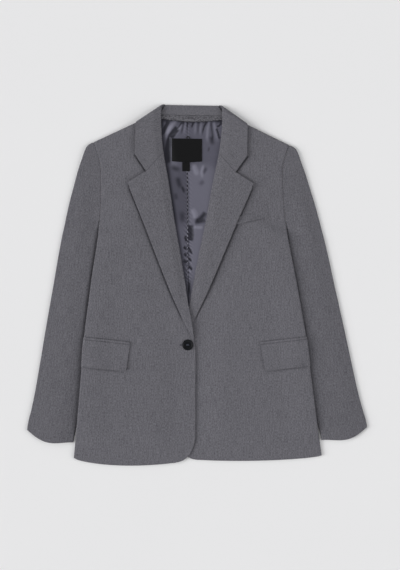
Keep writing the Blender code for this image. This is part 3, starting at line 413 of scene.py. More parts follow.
def makeTapeWeave(spec):
    # black damask label weave: fine ribs across, a dull sheen; real ribs are 0.3 mm, so they
    # are drawn coarser to show
    made, tree = newMaterial("blackLabelWeave")
    where = addNode(tree, "ShaderNodeUVMap", uv_map="weave")
    ribs = addNode(tree, "ShaderNodeTexWave", {
        "Vector": where, "Scale": waveScale(spec["ribMm"]), "Distortion": spec["ribWavy"]},
        bands_direction="Y")
    grain = addNode(tree, "ShaderNodeTexNoise", {
        "Vector": where, "Scale": spec["grainScale"], "Detail": 3.0})
    colour = addNode(tree, "ShaderNodeMix", {
        "Factor": grain, colourA: toLinear(spec["black"]), colourB: toLinear(spec["worn"])},
        data_type="RGBA")
    bump = addNode(tree, "ShaderNodeBump", {
        "Strength": spec["bump"], "Distance": spec["bumpDeep"], "Height": ribs.outputs["Fac"]})
    rough = addNode(tree, "ShaderNodeMapRange", {
        "Value": grain, "To Min": spec["roughness"][0], "To Max": spec["roughness"][1]})
    return finishMaterial(made, {
        "Base Color": colour, "Roughness": rough, "Normal": bump,
        "Specular IOR Level": spec["specular"]})


resinSpec = {
    "dark": "#050609", "light": "#0f1116", "swirlScale": 220.0, "swirlWavy": 1.2,
    "roughness": (0.34, 0.46), "ior": 1.52, "specular": 0.16,
}


def makeResin(spec):
    # moulded polyester resin, near black with a blue cast, polished: soft lights on the rim
    made, tree = newMaterial("buttonResin")
    where = addNode(tree, "ShaderNodeTexCoord")
    swirl = addNode(tree, "ShaderNodeTexNoise", {
        "Vector": where.outputs["Object"], "Scale": spec["swirlScale"], "Detail": 3.0,
        "Distortion": spec["swirlWavy"]})
    colour = addNode(tree, "ShaderNodeMix", {
        "Factor": swirl, colourA: toLinear(spec["dark"]), colourB: toLinear(spec["light"])},
        data_type="RGBA")
    rough = addNode(tree, "ShaderNodeMapRange", {
        "Value": swirl, "To Min": spec["roughness"][0], "To Max": spec["roughness"][1]})
    return finishMaterial(made, {
        "Base Color": colour, "Roughness": rough, "IOR": spec["ior"],
        "Specular IOR Level": spec["specular"]})


threadColours = {  # in the light and in the shade of the twist
    "blackCord": ("#1b1b1d", "#0c0c0d"), "blackThread": ("#232326", "#111113"),
    "liningThread": ("#b4b2c0", "#8a8896"), "buttonholeThread": ("#5a5a64", "#3b3b44"),
    "buttonThread": ("#5b6070", "#3a3e4a"),
}
threadSpec = {
    "twistScale": 420.0, "twistWavy": 1.5, "bump": 0.4, "bumpDeep": 0.0001, "roughness": 0.7,
}


def makeThread(name):
    # spun polyester sewing thread, matt; its twist of 0.8 mm is drawn coarser to show
    made, tree = newMaterial(name)
    spec, (light, dark) = threadSpec, threadColours[name]
    where = addNode(tree, "ShaderNodeTexCoord")
    twist = addNode(tree, "ShaderNodeTexWave", {
        "Vector": where.outputs["Object"], "Scale": spec["twistScale"],
        "Distortion": spec["twistWavy"]}, bands_direction="DIAGONAL").outputs["Fac"]
    colour = addNode(tree, "ShaderNodeMix", {
        "Factor": twist, colourA: toLinear(dark), colourB: toLinear(light)}, data_type="RGBA")
    bump = addNode(tree, "ShaderNodeBump", {
        "Strength": spec["bump"], "Distance": spec["bumpDeep"], "Height": twist})
    return finishMaterial(made, {
        "Base Color": colour, "Normal": bump, "Roughness": spec["roughness"]})


# a panel of cloth from its grid

edgeRound = {"inset": 0.25, "rows": 0.2, "sharp": 75}  # two shares of the thickness, degrees
stated = {"perMetre": 200, "leastShare": 0.31}  # flat sizes go up to the next 5 mm


def addObject(name, data):
    made = bpy.data.objects.new(name, data)
    bpy.context.scene.collection.objects.link(made)
    return made


def finishPiece(made, slotName, *nodes):
    if nodes:
        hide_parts(*nodes)
    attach(made, "root")
    return made


def lengths(points, axis):
    return np.linalg.norm(np.diff(points, axis=axis), axis=2)


def weaveMap(points, grain, own):
    # millimetres along and across the threads: over the laid panel, or along its own grid
    rows, columns = points.shape[:2]
    if own is None:
        turn = math.radians(grain)
        u = points[..., 0] * math.cos(turn) + points[..., 1] * math.sin(turn)
        v = points[..., 1] * math.cos(turn) - points[..., 0] * math.sin(turn)
        return u, v
    v = np.concatenate([np.zeros((rows, 1)), np.cumsum(lengths(points, 1), axis=1)], axis=1)
    rise = lengths(points, 0)[:, (own + columns) // 2]
    u = np.repeat(np.concatenate([[0.0], np.cumsum(rise)])[:, None], columns, axis=1)
    return u, v - v[:, own:own + 1]


def gridNormals(points, kept):
    # a normal for each point from the kept faces round it, which points it is used at,
    # whether the faces look up and their area in square metres
    across = points[1:, 1:] - points[:-1, :-1]
    along = points[:-1, 1:] - points[1:, :-1]
    faceNormals = np.cross(along, across) * kept[..., None]
    rows, columns = kept.shape
    normals = np.zeros_like(points)
    used = np.zeros((rows + 1, columns + 1), bool)
    for di in (0, 1):
        for dj in (0, 1):
            corner = slice(di, rows + di), slice(dj, columns + dj)
            normals[corner] += faceNormals
            used[corner] |= kept
    upward = 1 if normals[..., 2].sum() >= 0 else -1
    length = np.linalg.norm(normals, axis=2, keepdims=True)
    normals = normals / np.where(length > 0, length, 1) * upward
    return normals, used, upward, 0.5 * np.linalg.norm(faceNormals, axis=2).sum() * mm * mm


def edgeOutwards(middle, normals, border):
    # the way out of the panel at each point of its edge
    outwards = np.zeros_like(middle)
    for a, b in border:
        step = np.cross(middle[a] - middle[b], normals[a])
        step /= max(np.linalg.norm(step), 1e-9)
        outwards[a] += step
        outwards[b] += step
    reach = np.linalg.norm(outwards, axis=1, keepdims=True)
    return outwards / np.where(reach > 0, reach, 1)


def flatSize(points, kept):
    # the longest row and the longest column, in metres
    rows, columns = points.shape[:2]
    wide = lengths(points, 1) * kept[np.minimum(np.arange(rows), rows - 2)]
    tall = lengths(points, 0) * kept[:, np.minimum(np.arange(columns), columns - 2)]
    return wide.sum(axis=1).max() * mm, tall.sum(axis=0).max() * mm


def makeShell(name, grid, thick, paint, keep=None, out=0.0, grain=0.0, own=None):
    # a closed shell round the grid's middle surface; grain turns the weave on the laid
    # panel, in degrees, and own names the column that a weave along the grid starts from
    points = np.array(grid, dtype=float)
    rows, columns = points.shape[:2]
    kept = np.ones((rows - 1, columns - 1), bool)
    if keep:
        kept[:] = [[keep(i, j) for j in range(columns - 1)] for i in range(rows - 1)]
    normals, used, upward, area = gridNormals(points, kept)
    index = np.full((rows, columns), -1)
    index[used] = np.arange(used.sum())
    middle, normals = points[used], normals[used]
    count = len(middle)
    rings = []
    for i, j in zip(*np.nonzero(kept)):
        ring = [index[i, j], index[i, j + 1], index[i + 1, j + 1], index[i + 1, j]]
        rings.append([int(k) for k in (ring[::-1] if upward > 0 else ring)])
    directed = {(a, b) for ring in rings for a, b in zip(ring, ring[1:] + ring[:1])}
    border = sorted(edge for edge in directed if edge[::-1] not in directed)

    # the turned edge is round: both faces draw in a little and two rows go round it
    inset = edgeOutwards(middle, normals, border) * thick * edgeRound["inset"]
    edgeKeys = sorted({k for edge in border for k in edge})
    edgeIndex = {k: 2 * count + n for n, k in enumerate(edgeKeys)}
    edgeCount = len(edgeKeys)
    parts = [middle + normals * (out + sign * thick / 2) - inset for sign in (1, -1)]
    for sign in (1, -1):
        reach = out + sign * thick * edgeRound["rows"]
        parts.append(middle[edgeKeys] + normals[edgeKeys] * reach)
    faces = []
    for ring in rings:
        faces += [ring[::-1], [count + k for k in ring]]
    for a, b in border:
        high = (edgeIndex[a], edgeIndex[b])
        low = (high[0] + edgeCount, high[1] + edgeCount)
        faces += [
            [a, b, high[1], high[0]],
            [high[0], high[1], low[1], low[0]],
            [low[0], low[1], count + b, count + a],
        ]
    mesh = bpy.data.meshes.new(name)
    mesh.from_pydata(place(np.concatenate(parts)).tolist(), [], faces)
    mesh.materials.append(paint)

    u, v = weaveMap(points, grain, own)
    flat = np.stack([u[used], v[used]], axis=1) * mm
    flat = np.concatenate([flat, flat, flat[edgeKeys], flat[edgeKeys]])
    corners = np.empty(len(mesh.loops), dtype=np.int32)
    mesh.loops.foreach_get("vertex_index", corners)
    mesh.uv_layers.new(name="weave").data.foreach_set("uv", flat[corners].ravel())
    mesh.shade_smooth()
    mesh.set_sharp_from_angle(angle=math.radians(edgeRound["sharp"]))
    return addObject(name, mesh), *flatSize(points, kept), area


def makePanel(kind, node, grid, paint, held, restsOn, thick=cloth["thick"], slot="suiting", **cut):
    # one cut piece, which stands for its node and states its flat size
    made, wide, tall, area = makeShell(kind + "_" + node, grid, thick, paint, **cut)
    finishPiece(made, slot, node)
    perMetre = stated["perMetre"]
    wide, tall = (math.ceil(size * perMetre) / perMetre for size in (wide, tall))
    area = min(max(area, stated["leastShare"] * wide * tall), wide * tall)
    print(f"sheet {made.name}: {wide * 1000:.0f} x {tall * 1000:.0f} mm, {area * 1e4:.0f} cm2")
    return made


# heights of the layers

layers = {
    "neckClear": 4.0, "neckRamp": 26.0, "neckSpread": 36.0,
    "sleeveLift": 2 * cloth["thick"] + 3.4, "liftFade": 30.0, "liftEnd": (-292, -340),
    "liftFull": 14.0, "liftRamp": 52.0,
    "middleRise": 8.6, "hemRise": 3.8, "hemFade": (-10, 70),
    "chestSwell": 1.2, "chestTop": (296, 205), "chestFoot": (-190, 20), "chestIn": (0, 110),
    "edgeFlat": 38.0, "edgeBlend": 60.0, "sideBlend": 60.0, "armholeBlend": 1.8,
    "armholeFrom": (120, 160), "foldFade": (4, 24),
    "standOff": 3.6, "standOffWide": 18.0, "standOffFrom": (-80, 20),
}

# soft creases pressed into the fronts: height, half width, fades, path
frontFolds = {
    right: foldField([
        (-0.9, 26, 0.3, 0.4, [(-158, 214), (-132, 140), (-100, 45), (-78, -30)]),
        (0.8, 42, 0.4, 0.4, [(-172, 190), (-158, 40), (-150, -90)]),
        (-0.6, 20, 0.2, 0.6, [(-192, 128), (-168, 88), (-140, 40)]),
        (-0.5, 26, 0.3, 0.2, [(-128, -190), (-134, -270), (-142, -352)]),
        (0.5, 34, 0.3, 0.2, [(-66, -170), (-74, -260), (-80, -356)]),
        (-0.5, 24, 0.3, 0.3, [(-40, -150), (-42, -230), (-38, -320)]),
        (0.4, 30, 0.3, 0.3, [(-190, -200), (-200, -280), (-206, -340)]),
    ]),
    left: foldField([
        (-0.9, 26, 0.3, 0.4, [(128, 208), (104, 130), (72, 40), (40, -40)]),
        (0.8, 42, 0.4, 0.4, [(150, 100), (148, 10), (158, -90)]),
        (-0.6, 20, 0.2, 0.6, [(184, 128), (168, 84), (136, 44)]),
        (-0.5, 26, 0.3, 0.2, [(84, -180), (90, -260), (92, -350)]),
        (0.5, 34, 0.3, 0.2, [(150, -190), (158, -270), (166, -346)]),
        (0.4, 30, 0.3, 0.3, [(30, -150), (34, -240), (36, -330)]),
        (-0.4, 22, 0.3, 0.3, [(206, -190), (216, -270), (222, -330)]),
    ]),
}


def neckLift(x, y):
    top = collar["fallEdgeY"] - layers["neckClear"]
    along = smooth(top - layers["neckRamp"], top, y)
    half, side = abs(x - body["neckX"]), collar["sideHalf"]
    return layer * along * (1 - smooth(side, side + layers["neckSpread"], half))


def sideLift(side, x, y):
    underarm, full = body["underarmY"], layers["liftFull"]
    along = smooth(underarm, underarm - layers["liftFade"], y) * (1 - smooth(*layers["liftEnd"], y))
    shown = 1 - smooth(full, full + layers["liftRamp"], fromSide(side, x, y))
    return layers["sleeveLift"] * along * shown


def backZ(side, x, y):
    return halfThick + neckLift(x, y) + sideLift(side, x, y)


def frontRise(side, x, y):
    inwards = fromSide(side, x, y)
    hem = [body["sideHemY"] + step for step in layers["hemFade"]]
    middle = mix(layers["hemRise"], layers["middleRise"], smooth(*hem, y))
    swell = smooth(*layers["chestTop"], y) * smooth(*layers["chestFoot"], y)
    middle += layers["chestSwell"] * (swell * smooth(*layers["chestIn"], inwards))
    flat = layers["edgeFlat"]
    beyond = smooth(flat, flat + layers["edgeBlend"], fromRoll(side, x, y))
    rise = mix(edgeRise[side](y), middle, beyond)
    wider = mix(1.0, layers["armholeBlend"], smooth(*layers["armholeFrom"], y))
    return mix(sideRise(y), rise, smooth(0, layers["sideBlend"] * wider, inwards))


def frontZ(side, x, y):
    fold = frontFolds[side](x, y) * smooth(*layers["foldFade"], fromSide(side, x, y))
    return backZ(side, x, y) + frontRise(side, x, y) + fold


def lapelZ(side, x, y):
    away = smooth(0, layers["standOffWide"], fromRoll(side, x, y))
    stand = layers["standOff"] * away * smooth(*layers["standOffFrom"], y)
    return frontZ(side, x, y) + layer + stand


# fronts

front = {
    "shoulderHalf": 205.4, "shoulderNeckHalf": 76.5, "shoulderSlope": -0.474,
    "shoulderRun": 10.0, "shoulderInset": 2.3,
    "sideRun": 28.0, "sideStep": 5.0, "cornerWide": 38.0, "cornerY": {right: -371.0, left: -366.5},
    "cornerSteps": 14, "lastRows": [0.985, 1.0], "hemBow": {right: 11.5, left: 6.5},
    "bowPowers": (1.2, 0.6), "wrapEndY": 14.0,
    "edgeInset": 2.2, "edgeInsetFrom": -50.0, "foldSteps": 8, "step": 6.0,
    "sideStations": spread([60.0, 0.0], 5.0), "edgeColumns": 60, "firstColumn": 1.2,
    "armhole": spread(body["armhole"], 6.0), "rowStops": (100, -138),
    "fineStep": 1.5, "flapRows": (-164, -192), "notchRows": (252.0, 208.0),
}
press = {  # the fine line that an edge leaves: its depth, half width and place past the edge
    "deep": 1.7, "half": 1.7, "past": 1.2, "from": (-92, -60), "to": (208, 216),
    "gather": 0.8, "reach": 16.0,
    "flap": 1.0, "flapFrom": (0, 8), "flapTo": (-2, 4),
    "notch": 1.4, "notchFrom": (-0.04, 0.06), "notchTo": (0.9, 1.04),
}
topColumns = front["edgeColumns"] + 1 + len(front["sideStations"])


def shoulderY(half):
    return body["shoulderY"] + front["shoulderSlope"] * (half - front["shoulderHalf"])


def columnShares(wide):
    # closer towards the side, with one column just inside the edge
    inner = 1 - front["sideStations"][0] / wide
    count = front["edgeColumns"]
    shares = [inner * k / count for k in range(count)]
    shares.insert(1, front["firstColumn"] / wide)
    return shares + [1 - station / wide for station in front["sideStations"]]


def edgeInset(y):
    return front["edgeInset"] * smooth(front["edgeInsetFrom"], front["wrapEndY"], y)


def pressAlong(y):
    return smooth(*press["from"], y) * (1 - smooth(*press["to"], y))


def pastNotch(side, x, y):
    # share of the way along the collar's end, from the notch to its tip, and distance past it
    notch, tip = lapel["notch"], collar["tip"]
    runX = side * (openingCentre(tip[1]) - openingCentre(notch[1])) + tip[0] - notch[0]
    runY = tip[1] - notch[1]
    offX, offY = side * (x - openingX(side, notch[1], notch[0])), y - notch[1]
    reach = math.hypot(runX, runY)
    return (offX * runX + offY * runY) / reach**2, (offX * runY - offY * runX) / reach


def pressedZ(side, x, y):
    # the edges of lapel, pocket flap and collar leave fine pressed lines in the front
    past = side * (x - openingCentre(y)) - lapelHalf(y) - press["past"]
    deep = pressAlong(y) * bell(past, press["half"])
    inwards = foldHalf(y) - side * (x - bodyCentre(y))
    inner = sideHalf(pocket["topY"]) - pocket["half"] - pocket["slant"] - pocket["corner"] / 2
    past = pocket["topY"] - pocket["deep"] - pocket["slope"] * inwards - y - press["past"]
    along = smooth(*press["flapFrom"], inwards) * (1 - smooth(*press["flapTo"], inwards - inner))
    deep += press["flap"] * along * bell(past, press["half"])
    share, past = pastNotch(side, x, y)
    along = smooth(*press["notchFrom"], share) * (1 - smooth(*press["notchTo"], share))
    deep += press["notch"] * along * bell(past - press["past"], press["half"])
    return frontZ(side, x, y) - press["deep"] * deep


def gatherShares(wide, y):
    # columns move closer together where the pressed line runs
    edge = lapelHalf(y) + press["past"] - rollHalf(y) - edgeInset(y)
    moved = [0.0]
    for share in columnShares(wide)[1:]:
        past = share * wide - edge
        pull = press["gather"] * pressAlong(y) * bell(past, press["reach"])
        moved.append((edge + past * (1 - pull)) / wide)
    return moved


def pressedRow(side, start, end):
    # from the front's edge to its side fold or armhole
    (startX, startY), (endX, endY) = start, end
    row = []
    for u in gatherShares(abs(endX - startX), mix(startY, endY, 0.5)):
        x, y = mix(startX, endX, u), mix(startY, endY, u)
        row.append((x, y, pressedZ(side, x, y)))
    return row


def edgePoint(side, y):
    return openingX(side, y, rollHalf(y) + edgeInset(y)), y


def frontFold(side, y):
    # round the side fold and along the underside
    radius = sideRise(y) / 2
    half = foldHalf(y)
    low = backZ(side, bodyX(side, y, half), y)
    row = []
    for angle in turnAngles(front["foldSteps"], 90, -90)[1:]:
        x = bodyX(side, y, half + radius * math.cos(angle))
        row.append((x, y, low + radius * (1 + math.sin(angle))))
    for run in spread([radius, front["sideRun"]], front["sideStep"])[1:]:
        x = bodyX(side, y, half) - side * (run - radius)
        row.append((x, min(y, body["underarmY"] - cloth["seam"]), backZ(side, x, y)))
    return row


def hemBow(u):
    early, full = front["bowPowers"]
    return math.sin(math.pi * u**early) ** full if 0 < u < 1 else 0.0


def frontLowerRows(side):
    step, cornerY = front["step"], body["cornerTopY"]
    high, low = front["flapRows"]
    heights = spread([body["underarmY"], *front["rowStops"], high], step)[:-1]
    heights += spread([high, low], front["fineStep"])[:-1] + spread([low, cornerY], step)
    rows = []
    for y in heights:
        end = bodyX(side, y, foldHalf(y)), y
        rows.append(pressedRow(side, edgePoint(side, y), end) + frontFold(side, y))
    steps = front["cornerSteps"]
    for share in [k / steps for k in range(1, steps)] + front["lastRows"]:
        turn = math.radians(90 * share)
        startY = mix(cornerY, front["cornerY"][side], math.sin(turn))
        sideY = mix(cornerY, body["sideHemY"], share)
        edge = rollHalf(cornerY) + front["cornerWide"] * (1 - math.cos(turn))
        start, end = openingX(side, startY, edge), bodyX(side, sideY, foldHalf(sideY))
        row = []
        for u in columnShares(abs(end - start)):
            x = mix(start, end, u)
            y = mix(startY, sideY, u) - front["hemBow"][side] * share**2 * hemBow(u)
            row.append((x, y, frontZ(side, x, y)))
        rows.append(row + frontFold(side, sideY))
    return rows


def shoulderPoint(side, half, inwards, angle=0.0, radius=0.0, low=0.0):
    lean = math.hypot(1, front["shoulderSlope"])
    inset = halfThick + radius * (1 - math.cos(angle)) + inwards
    x = body["neckX"] + side * (half + front["shoulderSlope"] / lean * inset)
    return x, shoulderY(half) - inset / lean, low + radius * (1 + math.sin(angle))


def frontUpperRows(side):
    inner, outer = front["shoulderNeckHalf"], front["shoulderHalf"] - halfSeam
    stations = []
    for u in columnShares(outer - inner):
        half = mix(inner, outer, u)
        x, y, _ = shoulderPoint(side, half, front["shoulderInset"])
        stations.append((half, frontRise(side, x, y) / 2, backZ(side, x, y)))
    rows = []
    for run in (front["shoulderRun"], front["shoulderRun"] / 2):
        row = []
        for half, radius, _ in stations:
            x, y, _ = shoulderPoint(side, half, run, math.pi / 2, radius)
            row.append((x, y, backZ(side, x, y)))
        rows.append(row)
    for angle in turnAngles(front["foldSteps"], -90, 90):
        rows.append([
            shoulderPoint(side, half, 0, angle, radius, low) for half, radius, low in stations])
    topInner, topOuter = rows[-1][0][1], rows[-1][-1][1]
    armhole, underarm = front["armhole"], body["underarmY"]
    heights = spread([topOuter, armhole[0]], front["step"])[1:-1] + armhole[:-1]
    fine = spread(front["notchRows"], front["fineStep"])
    heights = [y for y in heights if y > fine[0]] + fine + [y for y in heights if y < fine[-1]]
    for outerY in heights:
        innerY = mix(topInner, underarm, (topOuter - outerY) / (topOuter - underarm))
        end = bodyX(side, outerY, sideHalf(outerY) - halfSeam), outerY
        rows.append(pressedRow(side, edgePoint(side, innerY), end))
    return rows


def makeFront(side):
    upper, lower = frontUpperRows(side), frontLowerRows(side)
    spare = len(lower[0]) - topColumns
    grid = [row + [row[-1]] * spare for row in upper] + lower
    makePanel(
        "cloth", "front_" + sideName[side], grid, suiting, "folded",
        ["cloth_back_" + sideName[side]],
        keep=lambda i, j: j < topColumns - 1 or i >= len(upper))


# backs

back = {
    "hemY": -353.0, "hemBow": 3.0, "hemFrom": -316.0, "hemEdge": 1.2, "columns": 30, "edge": 6,
    "belowY": 126.0, "upperStep": 6.0, "lowerStep": 9.0, "shoulderClear": 2.65, "rounds": 4,
}


def makeBack(side):
    columns, edge = back["columns"], back["edge"]
    lean = math.hypot(1, front["shoulderSlope"])
    underarm = body["underarmY"]

    def seamHalf(y):
        return sideHalf(y) - halfThick - front["sideRun"] - cloth["seam"]

    def topY(half):
        run = halfThick + back["shoulderClear"] + front["shoulderRun"] + cloth["seam"]
        return min(neckSeamY(half) - cloth["seam"], shoulderY(half) - run * lean)

    grid = []
    first = topY(front["shoulderHalf"])
    edgeHeights = spread([first, *body["armhole"]], back["upperStep"])
    for edgeY in edgeHeights:
        share = (first - edgeY) / (first - underarm)
        row = []
        for k in range(columns + edge):
            y = underarm
            for _ in range(back["rounds"]):  # width and height depend on each other
                if k < columns:
                    half = mix(halfSeam, seamHalf(y), k / (columns - 1))
                    y = mix(topY(half), underarm, share)
                elif k < columns + edge - 1:
                    half = mix(seamHalf(y), sideHalf(y) - halfSeam, (k - columns + 1) / edge)
                    y = mix(topY(half), underarm + cloth["seam"], share)
                else:
                    y = max(edgeY, underarm + cloth["seam"])
                    half = sideHalf(y) - halfSeam
            x = bodyX(side, y, half)
            row.append((x, y, backZ(side, x, y)))
        grid.append(row)
    hem = back["hemY"]
    stops = [back["belowY"], back["hemFrom"], hem + back["hemEdge"], hem]
    for y in spread(stops, back["lowerStep"]):
        bow = back["hemBow"] * smooth(back["hemFrom"], hem, y)
        row = []
        for k in range(columns):
            u = k / (columns - 1)
            x = bodyX(side, y, mix(halfSeam, seamHalf(y), u))
            row.append((x, y - bow * u * u, backZ(side, x, y)))
        grid.append(row + [row[-1]] * edge)
    makePanel(
        "cloth", "back_" + sideName[side], grid, suiting, "laid", ["floor"],
        keep=lambda i, j: j < columns - 1 or i < len(edgeHeights) - 1)


# sleeves

sleeve = {
    "rows": [  # place on the armhole or inner fold, half width and height on the silhouette
        (296.4, 211.0, 294.8), (284.0, 218.0, 290.4), (276.0, 221.6, 286.0), (270.0, 224.0, 281.0),
        (261.0, 227.4, 272.0), (252.0, 230.5, 262.5), (226.0, 239.0, 238.0), (196.0, 248.0, 207.0),
        (164.0, 257.4, 174.5), (133.0, 266.0, 140.0), (132.0, 266.3, 138.8), (116.0, 270.5, 120.0),
        (100.0, 274.8, 103.0), (80.0, 279.8, 80.0), (56.0, 285.0, 55.0), (10.0, 294.0, 8.0),
        (-45.0, 305.0, -47.0), (-105.0, 316.4, -105.0), (-165.0, 327.8, -165.0),
        (-220.0, 338.4, -219.0), (-262.0, 347.4, -258.0), (-290.0, 353.6, -280.0),
        (-310.0, 356.4, -292.0), (-328.0, 357.6, -301.0),
    ],
    "edgeRise": 2.1, "headRise": 6.0, "outerRise": 2.6, "outerWide": 60.0,
    # height, reach, dip at the body and the dip's width
    "crown": {right: (8.2, 62.0, 4.2, 3.6), left: (7.2, 90.0, 2.0, 1.8)},
    "cuffCrown": {right: (9.6, 42.0, 0.6, 3.6), left: (7.2, 90.0, 1.6, 1.8)},
    "cuffFrom": (-20, -240), "headWide": 46.0, "headFrom": (200, 290), "capY": 284.0,
    "belowFrom": (6, -64),
    "run": 22.0, "innerRun": 12.0, "runShare": 0.3,
    "tuck": 12.0, "tuckFrom": (98, 60), "tuckTo": (-225, -288), "clear": 0.4,
    "cuffFlare": 4.0, "cuffBow": 14.0, "bowFrom": -270.0, "cuffY": -328.0, "cuffEdge": 1.2,
    "foldSteps": 8, "columns": 36, "columnBias": 0.6, "underColumns": 9, "step": 6.0,
    "foldStart": (4, 24), "foldEnd": (2, 20), "bowPower": 1.3, "outerPower": 0.7, "grain": 8.0,
}
outerHalf = smoothCurve(sleeve["rows"], 1)
outerY = smoothCurve(sleeve["rows"], 2)
sleeveFolds = {
    right: foldField([
        (0.9, 26, 0.2, 0.3, [(-236, 240), (-250, 120), (-268, 0), (-288, -140)]),
        (-0.8, 18, 0.3, 0.5, [(-214, 130), (-232, 90), (-258, 60)]),
        (-0.7, 16, 0.3, 0.5, [(-236, 10), (-258, -20), (-286, -38)]),
        (-0.6, 20, 0.3, 0.3, [(-268, -80), (-284, -170), (-298, -280)]),
        (0.6, 18, 0.4, 0.4, [(-300, -110), (-316, -200), (-326, -270)]),
        (-0.5, 14, 0.4, 0.4, [(-250, 200), (-262, 150), (-272, 90)]),
    ]),
    left: foldField([
        (0.9, 26, 0.2, 0.3, [(214, 236), (230, 120), (254, 0), (280, -140)]),
        (-0.8, 18, 0.3, 0.5, [(196, 132), (216, 94), (240, 70)]),
        (-0.7, 16, 0.3, 0.5, [(226, 20), (248, -12), (276, -26)]),
        (-0.6, 20, 0.3, 0.3, [(258, -70), (276, -170), (296, -280)]),
        (0.6, 18, 0.4, 0.4, [(294, -100), (314, -190), (326, -260)]),
        (-0.5, 14, 0.4, 0.4, [(232, 206), (244, 150), (252, 96)]),
    ]),
}


def sleeveInnerHalf(y):
    # the inner fold goes under the body's side and out again at the cuff
    clear, last = sleeve["clear"], sleeve["tuckTo"]
    tucked = smooth(*sleeve["tuckFrom"], y) * (1 - smooth(*last, y))
    flare = (sleeve["cuffFlare"] - clear) * smooth(last[1], sleeve["cuffY"], y)
    return sideHalf(y) - mix(-clear, sleeve["tuck"], tucked) + flare


def sleevePoint(side, innerY, inner, across, bow):
    u = across / (outerHalf(innerY) - inner)
    sag = bow * math.sin(math.pi * clamp(u) ** sleeve["bowPower"])
    y = mix(innerY, outerY(innerY), u) - sag
    return bodyX(side, y, inner + across), y


def sleeveRise(side, innerY, across, wide, outerRadius):
    underarm = body["underarmY"]
    edge, fromBody = sleeve["edgeRise"], across + sleeveInnerHalf(innerY) - sideHalf(innerY)
    if innerY > underarm:
        edge, fromBody = sideRise(innerY), across
    toCuff = smooth(*sleeve["cuffFrom"], innerY)
    tall, reach, dip, dipWide = (
        mix(*pair, toCuff) for pair in zip(sleeve["crown"][side], sleeve["cuffCrown"][side]))
    away = clamp(fromBody / reach)
    crown = 1 - (1 - away) ** 2 if side == right else smooth(0, 1, away)
    shown = edge + dip * (1 - math.exp(-max(fromBody, 0.0) / dipWide))
    below = smooth(*(underarm + step for step in sleeve["belowFrom"]), innerY)
    head = mix(edge, sleeve["headRise"], smooth(0, sleeve["headWide"], fromBody))
    rise = mix(head, mix(shown, tall, crown), below)
    fromOuter = smooth(0, sleeve["outerWide"], wide - halfThick - outerRadius - across)
    return mix(2 * outerRadius, rise, fromOuter ** sleeve["outerPower"])


def makeSleeve(side):
    topGrid, underGrid = [], []
    steps, columns, seam = sleeve["foldSteps"], sleeve["columns"], cloth["seam"]
    cuffY, low, innerRadius = sleeve["cuffY"], halfThick, sleeve["edgeRise"] / 2
    stops = [sleeve["rows"][0][0], sleeve["capY"], *body["armhole"], sleeve["tuckFrom"][0]]
    heights = spread(stops + [cuffY + sleeve["cuffEdge"], cuffY], sleeve["step"])
    firstBelow = sum(y > body["underarmY"] for y in heights)
    for number, innerY in enumerate(heights):
        above = number < firstBelow
        inner = sideHalf(innerY) + halfSeam if above else sleeveInnerHalf(innerY)
        head = smooth(*sleeve["headFrom"], outerY(innerY))
        outerRadius = mix(sleeve["outerRise"], body["rows"][0][2], head) / 2
        bow = sleeve["cuffBow"] * smooth(sleeve["bowFrom"], cuffY, innerY)
        wide = outerHalf(innerY) - inner
        start = 0.0 if above else halfThick + innerRadius
        end = wide - halfThick - outerRadius
        innerRun = 0.0 if above else min(sleeve["innerRun"], sleeve["runShare"] * wide)
        outerRun = min(sleeve["run"], sleeve["runShare"] * wide)

        def at(across, height=low):
            return (*sleevePoint(side, innerY, inner, across, bow), height)

        def turned(middle, radius, angle):
            return at(middle + radius * math.cos(angle), low + radius * (1 + math.sin(angle)))

        line = [at(start + innerRun), at(start + innerRun / 2)]
        line += [turned(start, innerRadius, angle) for angle in turnAngles(steps, 270, 90)[:-1]]
        for k in range(columns):
            u = k / (columns - 1)
            across = mix(start, end, mix(u, u * u, sleeve["columnBias"]))
            x, y, _ = at(across)
            fade = smooth(*sleeve["foldStart"], across - start)
            fade *= smooth(*sleeve["foldEnd"], end - across)
            height = low + sleeveRise(side, innerY, across, wide, outerRadius)
            line.append((x, y, height + sleeveFolds[side](x, y) * fade))
        line += [turned(end, outerRadius, angle) for angle in turnAngles(steps, 90, -90)[1:]]
        topGrid.append(line + [at(end - outerRun / 2), at(end - outerRun)])
        first, last = halfSeam if above else start + innerRun + seam, end - outerRun - seam
        underGrid.append([at(across) for across in evenly(first, last, sleeve["underColumns"])])
    name, grain = sideName[side], sleeve["grain"] * side
    # the sleeves take the darker copy of the suiting, painted shade
    makePanel(
        "cloth", "sleeve_top_" + name, topGrid, shadedSleeveSuiting, "folded",
        ["cloth_sleeve_under_" + name], grain=grain,
        keep=lambda i, j: j >= 2 + steps or i >= firstBelow)
    makePanel(
        "cloth", "sleeve_under_" + name, underGrid, shadedSleeveSuiting, "laid", ["floor"], grain=grain)


# lapels

lapel = {
    "rollRun": 7.0, "rollSteps": 8, "columns": 24, "endY": {right: -112.0, left: -84.0},
    "gorgeInner": (57.8, 275.5), "notch": (93.3, 238.4), "tip": (131.2, 214.8),
    "gorgeGap": 0.25, "split": 1 / 3, "levelY": 206.0, "grain": 17.0,
    "rim": 0.012, "gorgeRows": (0.07, 0.02), "step": 6.0, "lowStep": 5.0,
}
wrapColumns = 1 + lapel["rollSteps"]


def turnedX(side, y):
    # where the facing lies once it has come round the roll; below that it starts at the edge
    inset = layer + halfThick if y >= front["wrapEndY"] else 0.0
    return openingX(side, y, rollHalf(y) + inset)


